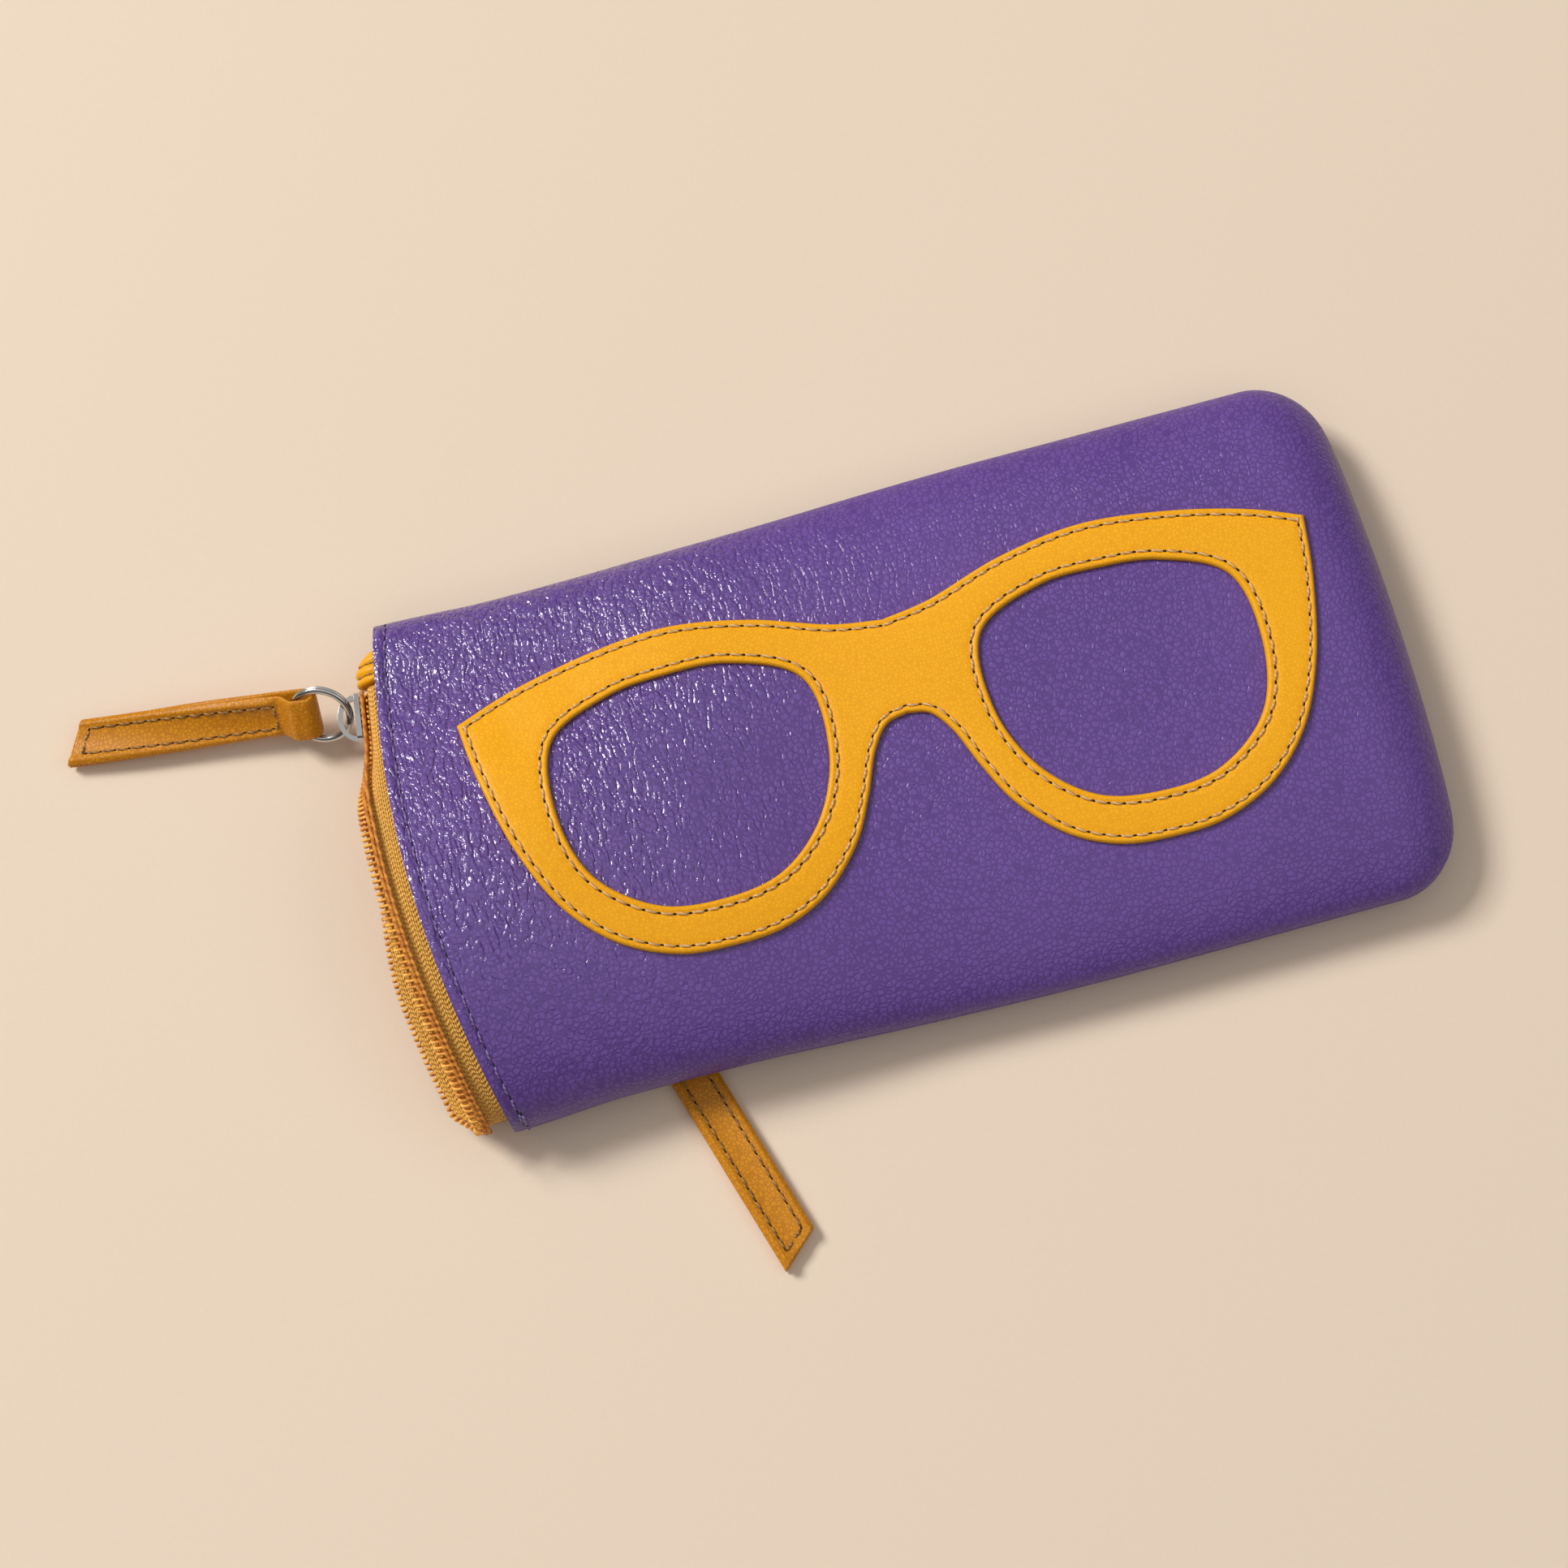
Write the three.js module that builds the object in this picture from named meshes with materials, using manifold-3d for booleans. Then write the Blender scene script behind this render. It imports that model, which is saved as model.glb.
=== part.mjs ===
// A padded leather case for several pairs of glasses, in millimetres, +Z up.
//
// The case lies on its back panel. +X runs from the open mouth to the closed end, +Y across the width, and
// the origin is the centre of the flat back face. A first zip closes the mouth and a second one closes a
// flat pocket in the back panel. Each zip has a slider, a split ring and a folded leather pull tab.
import * as THREE from "three";
import { TessellateModifier } from "three/addons/modifiers/TessellateModifier.js";
import { mergeVertices } from "three/addons/utils/BufferGeometryUtils.js";
import Module from "manifold-3d";

const wasm = await Module();
wasm.setup();

// Driving dimensions of the case.
const LENGTH = 190.5;
const WIDTH = 101.6;
const CORNER = 13.5;
const END_ROUND = 13;
const BODY_RISE = 10;
const BODY_SEAM = 8;
const MOUTH_ARCH = 11.1;
const ARCH_END = 0.72;
const ARCH_FADE = 90;
const WAIST = 2.3;
const MOUTH_FLARE = 0.9;
const MOUTH_BOW_RADIUS = 210;
const MOUTH_BOW_Y = 3;
const END_BOW = 0.0009;
const END_BOW_Y = -12;
const BACK_EDGE = 9;
const HALF_WIDTH = WIDTH / 2;

// The back is held off the surface over the pocket zip's slider and a little less at the mouth.
const PLATEAU_LIFT = 4.8;
const MOUTH_LIFT = 3.2;
const PLATEAU_FROM = 22;
const PLATEAU_TO = 49;
const FLAT_FROM = 77;
const PLATEAU_SEAM_RISE = 1.8;

// Thicknesses and the clearance kept between touching pieces.
const GAP = 0.3;
const LEATHER = 1.3;
const PADDING = 1.2;
const BACK_PADDING = 1.1;
const LINING = 0.5;
const LINING_EASE = 0.25;
const POCKET_EASE = 0.1;

// Where the back lining rises over the pocket, and then over the padding.
const OVER_POCKET_FROM = 4;
const OVER_PADDING_FROM = 45;
const OVER_PADDING_TO = 66;
const POCKET_SHEET = 0.4;
const APPLIQUE = 1.2;
const THREAD_WIDTH = 0.5;
const THREAD_HEIGHT = 0.3;

// Zip chain: tape, coil and slider.
const TAPE = 0.7;
const TAPE_MARGIN = 8;
const TAPE_LEAD_OPEN = 2.3;
const BACK_HANG = 3;
const BACK_HANG_FADE = 28;
const MOUTH_TAPE_EASE = 0.65;
const TAPE_LEAD_SHUT = 0.5;
const TAPE_BEND = 1.5;
const TAPE_LEG = 2.2;
const COIL_WIDTH = 2.05;
const COIL_HEIGHT = 1.1;
const PLATE = 1;
const INNER_PLATE = 0.8;
const SLIDER_LENGTH = 9;
const SLIDER_WIDTH = 7;
const SLIDER_TAIL = 5.4;
const INNER_PLATE_WIDTH = 4.2;
const DIVIDER = 0.7;
const DIVIDER_LENGTH = 1.8;
const BRIDGE_LENGTH = 8.8;
const BRIDGE_HEIGHT = 3.5;
const BRIDGE_BAND = 0.9;
const BRIDGE_WIDTH = 1.4;

// Pull tabs.
const TAB_LENGTH = 47;
const TAB_WIDTH = 8.6;
const TAB_THICK = 2.6;
const TAB_LAYER = 0.95;
const TAB_LOOP = 9.5;
const TAB_WIRE_AT = 5.3;
const TAB_SEAM = 1.8;

// Split rings, which clear the strap that runs through them.
const RING_WIRE = 0.65;
const RING_CLEARANCE = 0.6;
const RING_RADIUS = TAB_WIDTH / 2 + RING_WIRE + RING_CLEARANCE;

// Mouth zip: its end cap, where the slider is parked, and where the two tapes gather to it.
const CAP_MARGIN = 5.8;
const CAP_LENGTH = 7;
const CAP_NOSE = 4;
const CAP_TO = HALF_WIDTH - CAP_MARGIN;
const CAP_FROM = CAP_TO - CAP_LENGTH;
const SLIDER_TO_CAP = 5;
const MOUTH_SLIDER_Y = CAP_FROM - SLIDER_TO_CAP;
const GATHER_LENGTH = 25;
const GATHER_FROM = MOUTH_SLIDER_Y - GATHER_LENGTH;
const TAPE_END_MARGIN = 6.8;
const MOUTH_TAPE_FROM = TAPE_END_MARGIN - HALF_WIDTH;

// Pocket zip, in a window of the back panel.
const WINDOW_WIDTH = 12;
const WINDOW_MARGIN = 11.8;
const WINDOW_HALF = HALF_WIDTH - WINDOW_MARGIN;
const POCKET_ZIP_IN = 35.05;
const POCKET_ZIP_X = POCKET_ZIP_IN - LENGTH / 2;
const POCKET_SLIDER_PARKED = 5.8;
const POCKET_SLIDER_Y = POCKET_SLIDER_PARKED - WINDOW_HALF;
const POCKET_TAPE_WIDTH = 10;
const POCKET_TAPE_EASE = 0.05;
const POCKET_SIDE = 5;
const POCKET_HALF_WIDTH = WINDOW_HALF - POCKET_SIDE;
const POCKET_DEPTH = 140;
const POCKET_SLIDER_CLEARANCE = 0.25;

// Stitch lines.
const MOUTH_STITCH = 2.3;
const APPLIQUE_STITCH = 1.3;
const EYE_STITCH = 1.5;
const WINDOW_STITCH = 2;

// Glasses shape: one half, as points from the middle of the brow round to the middle of the bridge.
const APPLIQUE_X = 0.93;
const APPLIQUE_Y = 2.45;
const APPLIQUE_TURN = -0.8;
const APPLIQUE_LONG = 0.99;
const APPLIQUE_TALL = 1.012;
const BROW = [[0, 21.2], [9, 22.6], [24, 27.3], [40, 29.7], [56, 28.2], [72, 24.5], [81.8, 20.8]];
const CHEEK = [
  [81.8, 20.8], [80.5, 10], [76.6, -6], [70.7, -18], [62.4, -26], [52, -30.3], [42, -31],
  [32.3, -30], [23.3, -26], [15.2, -18], [10.8, -10], [7.3, -2], [4, 2], [0, 3],
];
const EYE = [
  [67.8, 0], [65.2, 13.5], [53, 19.4], [41.8, 20.7], [30.2, 20.2], [17.3, 14.2],
  [15.9, 0], [20.9, -12.1], [30.2, -20.1], [41.8, -22.4], [53.8, -20.9], [64.2, -12.9],
];

const STATION_LENGTH = 13.6;
const STATION_STEPS = Math.round(LENGTH / STATION_LENGTH);
const END_STEPS = 5;
const ACROSS_STEPS = 16;
const SHEET_EDGE = 10;
const END_START = LENGTH - END_ROUND;
const STATIONS = [
  ...Array.from({ length: STATION_STEPS }, (_, i) => (END_START * i) / STATION_STEPS),
  ...Array.from({ length: END_STEPS + 1 }, (_, i) =>
    END_START + END_ROUND * Math.sin((Math.PI / 2) * (i / END_STEPS))),
];

const { clamp, lerp, smoothstep } = THREE.MathUtils;

// ---- The case's shape ---------------------------------------------------------------------------

/** Height of the back face over the surface, s millimetres from the mouth. */
function backHeight(s) {
  const plateau = PLATEAU_LIFT * (1 - smoothstep(s, PLATEAU_TO, FLAT_FROM));
  return plateau - (PLATEAU_LIFT - MOUTH_LIFT) * (1 - smoothstep(s, 0, PLATEAU_FROM));
}

/** Depth of the folded lip at the mouth, which both halves share. */
const MOUTH_DEPTH = TAPE_BEND / (Math.PI / 2) + TAPE_LEG + GAP / 2 + LEATHER + GAP + TAPE / 2 + 0.7;

/** Height of the side seam over the surface. */
function seamHeight(s) {
  const plateau = BODY_SEAM + PLATEAU_SEAM_RISE * (1 - smoothstep(s, PLATEAU_TO, FLAT_FROM + 8));
  const mouth = MOUTH_LIFT + MOUTH_DEPTH;
  return plateau + (mouth - BODY_SEAM - PLATEAU_SEAM_RISE) * (1 - smoothstep(s, 0, 25));
}

/** Half the case's width, for a skin that lies inset millimetres inside the outer one. */
function halfWidth(s, inset) {
  const waist = WAIST * (1 - smoothstep(s, 30, 125));
  const flare = MOUTH_FLARE * (1 - smoothstep(s, 0, 25));
  const into = s - (LENGTH - CORNER);
  const radius = CORNER - inset;
  const pull = into > 0 ? radius - Math.sqrt(Math.max(radius * radius - into * into, 0)) : 0;
  return HALF_WIDTH - waist + flare - inset - pull;
}

/** How far the two faces close towards the seam at the padded end, from 1 to 0. */
function endClosing(s, inset) {
  const into = (s - END_START) / (END_ROUND - inset);
  return into > 0 ? Math.sqrt(Math.max(1 - into * into, 0)) : 1;
}

/** The mouth's bowed edge, and the closed end's. */
function mouthX(y) {
  const off = y - MOUTH_BOW_Y;
  return -LENGTH / 2 + MOUTH_BOW_RADIUS - Math.sqrt(MOUTH_BOW_RADIUS ** 2 - off * off);
}

function endX(y) {
  return LENGTH / 2 - END_BOW * (y - END_BOW_Y) ** 2;
}

function caseX(s, y) {
  return s < 0 ? mouthX(y) + s : mouthX(y) + (s / LENGTH) * (endX(y) - mouthX(y));
}

/** Distance from the mouth of a point of the plan. */
function fromMouth(x, y) {
  return ((x - mouthX(y)) * LENGTH) / (endX(y) - mouthX(y));
}

/** How much of a skin's inset goes into its height: all of it but at the side seams. */
function insetShare(r) {
  return Math.sqrt(1 - r ** 12);
}

/** Rise of the front over the seam at r, from -1 at one side seam to 1 at the other. */
function frontRise(s, r) {
  const body = BODY_RISE * Math.sqrt(Math.max(1 - Math.abs(r) ** 3.2, 0));
  const q = (r + 1) / (1 + ARCH_END);
  const bump = q < 1 ? Math.sin(Math.PI * q) ** (q < 0.5 ? 0.75 : 1.3) : 0;
  const mouth = MOUTH_DEPTH * Math.sqrt(Math.max(1 - r ** 8, 0)) + MOUTH_ARCH * bump;
  return lerp(mouth, body, smoothstep(s, 0, ARCH_FADE));
}

/** Drop of the back below its own side of the seam: flat, with rounded edges. */
function backDrop(s, r) {
  const width = halfWidth(s, 0);
  const into = (Math.abs(r) * width - (width - BACK_EDGE)) / BACK_EDGE;
  const round = into > 0 ? Math.sqrt(Math.max(1 - into * into, 0)) : 1;
  return (seamHeight(s) - backHeight(s) - GAP / 2) * round;
}

/** A point of the front or back skin, s from the mouth and at r across, inset below the outer skin. */
function skinPoint(side, s, r, inset) {
  const section = Math.max(s, 0);
  const y = r * halfWidth(section, inset);
  const outer = side > 0 ? frontRise(section, r) : backDrop(section, r);
  const height = Math.max(outer - inset * insetShare(r), 0) * endClosing(section, inset);
  return new THREE.Vector3(caseX(s, y), y, seamHeight(section) + side * (GAP / 2 + height));
}

/** The outer front face's height over a point of the plan. */
function frontHeightAt(x, y) {
  const s = clamp(fromMouth(x, y), 0, LENGTH);
  const r = clamp(y / halfWidth(s, 0), -1, 1);
  return skinPoint(1, s, r, 0).z;
}

// ---- Making solids ------------------------------------------------------------------------------

function welded(geometry) {
  geometry.deleteAttribute("normal");
  geometry.deleteAttribute("uv");
  const merged = mergeVertices(geometry, 1e-4);
  merged.computeVertexNormals();
  return merged;
}

/** A unit box cut into a grid, with each of its points (a, b, c) carried to place(a, b, c). */
function bentBox(along, across, through, place) {
  const box = new THREE.BoxGeometry(1, 1, 1, along, across, through);
  const position = box.getAttribute("position");
  for (let i = 0; i < position.count; i++) {
    const a = clamp(position.getX(i) + 0.5, 0, 1);
    const b = clamp(position.getY(i) + 0.5, 0, 1);
    const c = clamp(position.getZ(i) + 0.5, 0, 1);
    const to = place(a, b, c);
    position.setXYZ(i, to.x, to.y, to.z);
  }
  return welded(box);
}

/** Moves every point of a geometry by a function of its place. */
function moved(geometry, place) {
  const position = geometry.getAttribute("position");
  for (let i = 0; i < position.count; i++) {
    const to = place(position.getX(i), position.getY(i), position.getZ(i));
    position.setXYZ(i, to.x, to.y, to.z);
  }
  return welded(geometry);
}

function toSolid(geometry) {
  const indexed = welded(geometry.index ? geometry.toNonIndexed() : geometry.clone());
  const vertProperties = new Float32Array(indexed.getAttribute("position").array);
  const triVerts = new Uint32Array(indexed.index.array);
  return new wasm.Manifold(new wasm.Mesh({ numProp: 3, vertProperties, triVerts }));
}

function fromSolid(solid) {
  const mesh = solid.getMesh();
  const geometry = new THREE.BufferGeometry();
  geometry.setAttribute("position", new THREE.BufferAttribute(new Float32Array(mesh.vertProperties), 3));
  geometry.setIndex([...mesh.triVerts]);
  geometry.computeVertexNormals();
  return geometry;
}

/** A layer of the case between two insets, from the station where it starts to the closed end. */
function layer(side, firstStation, outerInset, thickness) {
  const steps = STATIONS.length - 1 - firstStation;
  return bentBox(steps, ACROSS_STEPS, 1, (a, b, c) => {
    const at = STATIONS[firstStation + Math.round(a * steps)];
    const deeper = side > 0 ? 1 - c : c;
    const start = typeof outerInset === "function" ? outerInset(at) : outerInset;
    const inset = start + deeper * thickness;
    const s = at > END_START ? END_START + ((at - END_START) * (END_ROUND - inset)) / END_ROUND : at;
    return skinPoint(side, s, -Math.cos(Math.PI * b), inset);
  });
}

// ---- Outlines -----------------------------------------------------------------------------------

function curvePoints(points, count, closed = false) {
  const through = points.map(([x, y]) => new THREE.Vector3(x, y, 0));
  const curve = new THREE.CatmullRomCurve3(through, closed, "centripetal");
  const found = curve.getSpacedPoints(count).map((p) => new THREE.Vector2(p.x, p.y));
  return closed ? found.slice(0, -1) : found;
}

/** The same outline, moved inwards (towards its left) by a distance, with mitred corners. */
function insetOutline(points, distance) {
  return points.map((p, i) => {
    const before = points[(i + points.length - 1) % points.length];
    const after = points[(i + 1) % points.length];
    const first = p.clone().sub(before).normalize();
    const second = after.clone().sub(p).normalize();
    const normal = new THREE.Vector2(-first.y - second.y, first.x + second.x).normalize();
    const share = Math.max(normal.dot(new THREE.Vector2(-first.y, first.x)), 0.35);
    return p.clone().addScaledVector(normal, distance / share);
  });
}

const mirrored = (points) => points.map((p) => new THREE.Vector2(-p.x, p.y)).reverse();

/** The glasses' outer outline, anticlockwise, and the outline of an eye on side 1 or -1. */
function glassesOutline() {
  const brow = curvePoints(BROW, 12);
  const cheek = curvePoints(CHEEK, 22);
  const right = [...brow.slice(0, -1), ...cheek.slice(0, -1)];
  const left = mirrored([...brow.slice(1), ...cheek.slice(1)]);
  return [...right, ...left].reverse();
}

function eyeOutline(side) {
  const eye = curvePoints(EYE, 28, true);
  return side > 0 ? eye : mirrored(eye);
}

function toCase(p) {
  const turn = THREE.MathUtils.degToRad(APPLIQUE_TURN);
  const u = p.x * APPLIQUE_LONG;
  const v = p.y * APPLIQUE_TALL;
  const x = APPLIQUE_X + u * Math.cos(turn) - v * Math.sin(turn);
  const y = APPLIQUE_Y + u * Math.sin(turn) + v * Math.cos(turn);
  return new THREE.Vector2(x, y);
}

/** A flat outline with holes, made a sheet that lies lift above the front panel. */
function sheetOnFront(outline, holes, lift, thickness) {
  const shape = new THREE.Shape(outline.map(toCase));
  shape.holes = holes.map((hole) => new THREE.Path(hole.map(toCase)));
  const flat = new THREE.ExtrudeGeometry(shape, { depth: thickness, bevelEnabled: false });
  const fine = new TessellateModifier(SHEET_EDGE, 8).modify(flat);
  return moved(fine, (x, y, z) => new THREE.Vector3(x, y, frontHeightAt(x, y) + lift + z));
}

/** A line of thread on the appliqué, along an outline moved inwards by a distance. */
function appliqueThread(outline, distance) {
  const outer = insetOutline(outline, distance - THREAD_WIDTH / 2);
  const inner = insetOutline(outline, distance + THREAD_WIDTH / 2);
  return sheetOnFront(outer, [inner], 2 * GAP + APPLIQUE, THREAD_HEIGHT);
}

// ---- The mouth zip ------------------------------------------------------------------------------

const TAPE_INSET = LEATHER + GAP + MOUTH_TAPE_EASE + TAPE / 2;

/** How far the tapes are gathered to the slider at y: 0 where they lie open, 1 at the slider. */
function gathered(y) {
  return smoothstep(y, GATHER_FROM, MOUTH_SLIDER_Y - SLIDER_LENGTH / 2);
}

/** How far a tape stands out of the lip. The back one hangs further out where the mouth is open. */
function tapeReach(side, y) {
  const hang = side < 0 ? BACK_HANG * (1 - smoothstep(y, GATHER_FROM - BACK_HANG_FADE, GATHER_FROM)) : 0;
  return lerp(TAPE_LEAD_OPEN, TAPE_LEAD_SHUT, gathered(y)) + hang + TAPE_BEND + TAPE_LEG;
}

/** A point of a mouth tape: t out from the lip along the tape, and n off its middle, outwards. */
function tapePoint(side, y, t, n) {
  const r = y / halfWidth(0, TAPE_INSET);
  if (t < 0) return skinPoint(side, -t, r, TAPE_INSET - n);
  const step = 0.01;
  const lip = skinPoint(side, 0, r, TAPE_INSET);
  const along = skinPoint(side, 0, r + step, TAPE_INSET).sub(skinPoint(side, 0, r - step, TAPE_INSET));
  const normal = new THREE.Vector3(0, -side * along.z, side * along.y).normalize();
  const turn = Math.max((Math.PI / 2) * gathered(y), 1e-3);
  const lead = tapeReach(side, y) - TAPE_BEND - TAPE_LEG;
  const bent = clamp((t - lead) / TAPE_BEND, 0, 1);
  const angle = turn * bent;
  const radius = TAPE_BEND / turn;
  const leg = Math.max(t - lead - TAPE_BEND, 0);
  const out = Math.min(t, lead) + radius * Math.sin(angle) + leg * Math.cos(angle);
  const drop = radius * (1 - Math.cos(angle)) + leg * Math.sin(angle);
  const point = lip.addScaledVector(normal, n * Math.cos(angle) - drop);
  point.x -= out + n * Math.sin(angle);
  return point;
}

const MOUTH_TAPE_STEPS = 30;
const MOUTH_TAPE_TO = CAP_FROM - GAP;

function mouthTape(side) {
  return bentBox(6, MOUTH_TAPE_STEPS, 1, (a, b, c) => {
    const y = lerp(MOUTH_TAPE_FROM, MOUTH_TAPE_TO, b);
    const reach = tapeReach(side, y);
    const bendFrom = reach - TAPE_LEG - TAPE_BEND;
    const out = [reach, reach - TAPE_LEG, bendFrom + TAPE_BEND / 2, bendFrom];
    const stops = [...out, 0, -TAPE_MARGIN / 2, -TAPE_MARGIN];
    const n = side * (c - 0.5) * TAPE;
    return tapePoint(side, y, stops[Math.round(a * 6)], n);
  });
}

function mouthCoil(side) {
  const low = TAPE / 2 + GAP;
  return bentBox(1, MOUTH_TAPE_STEPS, 1, (a, b, c) => {
    const y = lerp(MOUTH_TAPE_FROM, MOUTH_TAPE_TO, b);
    const up = side > 0 ? c : 1 - c;
    return tapePoint(side, y, tapeReach(side, y) - a * COIL_WIDTH, low + up * COIL_HEIGHT);
  });
}

const CAP_INSET = LEATHER + 2 * GAP;

/** The leather end cap: it fills the shut end of the mouth and stands out of it in a rounded nose. */
function endCap() {
  return bentBox(8, 4, 4, (a, b, c) => {
    const y = lerp(CAP_FROM, CAP_TO, b);
    const nose = CAP_NOSE * (1 - 0.55 * smoothstep(y, lerp(CAP_FROM, CAP_TO, 0.4), CAP_TO) ** 2);
    const s = a < 0.5 ? -nose * (1 - (2 * a) ** 2) : (2 * a - 1) * 6;
    const slim = s < 0 ? Math.sqrt(1 - 0.93 * (s / nose) ** 2) : 1;
    const r = y / halfWidth(0, CAP_INSET);
    const top = skinPoint(1, Math.max(s, 0), r, CAP_INSET).z;
    const bottom = skinPoint(-1, Math.max(s, 0), r, CAP_INSET).z;
    const middle = (top + bottom) / 2;
    const z = middle + (lerp(bottom, top, c) - middle) * slim;
    return new THREE.Vector3(caseX(s, y), y, z);
  });
}

/** One of the two stitch lines across the end cap's upper face. */
function capThread(y) {
  return bentBox(6, 1, 1, (a, b, c) => {
    const s = lerp(-CAP_NOSE * 0.86, -0.6, a);
    const slim = Math.sqrt(1 - 0.93 * (s / CAP_NOSE) ** 2);
    const across = y + (b - 0.5) * THREAD_WIDTH;
    const r = across / halfWidth(0, CAP_INSET);
    const top = skinPoint(1, 0, r, CAP_INSET).z;
    const bottom = skinPoint(-1, 0, r, CAP_INSET).z;
    const face = (top + bottom) / 2 + ((top - bottom) / 2) * slim;
    return new THREE.Vector3(caseX(s, across), across, face + GAP + c * THREAD_HEIGHT);
  });
}

/** A line of thread along a lip of the mouth. */
function lipThread(side) {
  const reach = 0.93;
  return bentBox(1, 22, 1, (a, b, c) => {
    const s = MOUTH_STITCH + (a - 0.5) * THREAD_WIDTH;
    const up = side > 0 ? c : 1 - c;
    return skinPoint(side, s, -reach * Math.cos(Math.PI * b), -GAP - up * THREAD_HEIGHT);
  });
}

// ---- Slider, ring and pull tab ------------------------------------------------------------------

/** A plate's outline: wide at the divider's end, narrow at the tail. */
function plateShape(width, tail) {
  const half = SLIDER_LENGTH / 2;
  const shape = new THREE.Shape();
  shape.moveTo(-width / 2, -half + 1);
  shape.quadraticCurveTo(-width / 2, -half, -width / 2 + 1, -half);
  shape.lineTo(width / 2 - 1, -half);
  shape.quadraticCurveTo(width / 2, -half, width / 2, -half + 1);
  shape.lineTo(width / 2, 0);
  shape.lineTo(tail / 2, half - 1);
  shape.quadraticCurveTo(tail / 2, half, tail / 2 - 1, half);
  shape.lineTo(-tail / 2 + 1, half);
  shape.quadraticCurveTo(-tail / 2, half, -tail / 2, half - 1);
  shape.lineTo(-width / 2, 0);
  return shape;
}

function slab(shape, from, depth) {
  const geometry = new THREE.ExtrudeGeometry(shape, { depth, bevelEnabled: false, curveSegments: 3 });
  return toSolid(geometry.translate(0, 0, from));
}

const OUTER_PLATE_AT = TAPE / 2 + GAP + COIL_HEIGHT + GAP;
const INNER_PLATE_AT = -TAPE / 2 - GAP - INNER_PLATE;
const BRIDGE_AT = OUTER_PLATE_AT + PLATE;

/** A slider about the middle of the tape: outwards is +Z, the divider is at -Y, moved aside by off. */
function sliderBody(off) {
  const outer = slab(plateShape(SLIDER_WIDTH, SLIDER_TAIL), OUTER_PLATE_AT, PLATE);
  const inner = slab(plateShape(INNER_PLATE_WIDTH, INNER_PLATE_WIDTH), INNER_PLATE_AT, INNER_PLATE);
  const postHeight = OUTER_PLATE_AT - INNER_PLATE_AT;
  const post = new THREE.BoxGeometry(DIVIDER, DIVIDER_LENGTH, postHeight);
  post.translate(off, (DIVIDER_LENGTH - SLIDER_LENGTH) / 2 + 0.1, INNER_PLATE_AT + postHeight / 2 + 0.1);
  const arch = new THREE.Shape();
  const sink = 0.3;
  const half = BRIDGE_LENGTH / 2;
  arch.moveTo(-half, -sink);
  arch.lineTo(-half, 0);
  arch.absellipse(0, 0, half, BRIDGE_HEIGHT, Math.PI, 0, true);
  arch.lineTo(half, -sink);
  arch.lineTo(half - BRIDGE_BAND, -sink);
  arch.lineTo(half - BRIDGE_BAND, 0);
  arch.absellipse(0, 0, half - BRIDGE_BAND, BRIDGE_HEIGHT - BRIDGE_BAND, 0, Math.PI, false);
  arch.lineTo(-half + BRIDGE_BAND, -sink);
  const extrusion = { depth: BRIDGE_WIDTH, bevelEnabled: false, curveSegments: 8 };
  const band = new THREE.ExtrudeGeometry(arch, extrusion);
  band.translate(0, 0, -BRIDGE_WIDTH / 2);
  band.rotateX(Math.PI / 2);
  band.rotateZ(Math.PI / 2);
  band.translate(0, 0, BRIDGE_AT);
  return fromSolid(outer.add(toSolid(post)).add(inner).add(toSolid(band)));
}

/** A split ring that leaves a bridge in a direction, tilted about that direction by an angle. */
function ringFrame(hole, direction, tilt) {
  const outward = direction.clone().normalize();
  const level = new THREE.Vector3(0, 0, 1).cross(outward).normalize().negate();
  const up = level.clone().cross(outward);
  const tangent = level.multiplyScalar(Math.cos(tilt)).addScaledVector(up, Math.sin(tilt));
  const normal = outward.clone().cross(tangent);
  const centre = hole.clone().addScaledVector(outward, RING_RADIUS);
  return { outward, tangent, normal, centre };
}

function ringBody(at) {
  const torus = new THREE.TorusGeometry(RING_RADIUS, RING_WIRE, 8, 24);
  const basis = new THREE.Matrix4().makeBasis(at.outward, at.tangent, at.normal);
  torus.applyMatrix4(basis.setPosition(at.centre));
  return welded(torus);
}

/** The ring's wire at the side that faces a direction. */
function ringFarPoint(at, direction) {
  const flat = direction.clone().addScaledVector(at.normal, -direction.dot(at.normal)).normalize();
  return at.centre.clone().addScaledVector(flat, RING_RADIUS);
}

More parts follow.
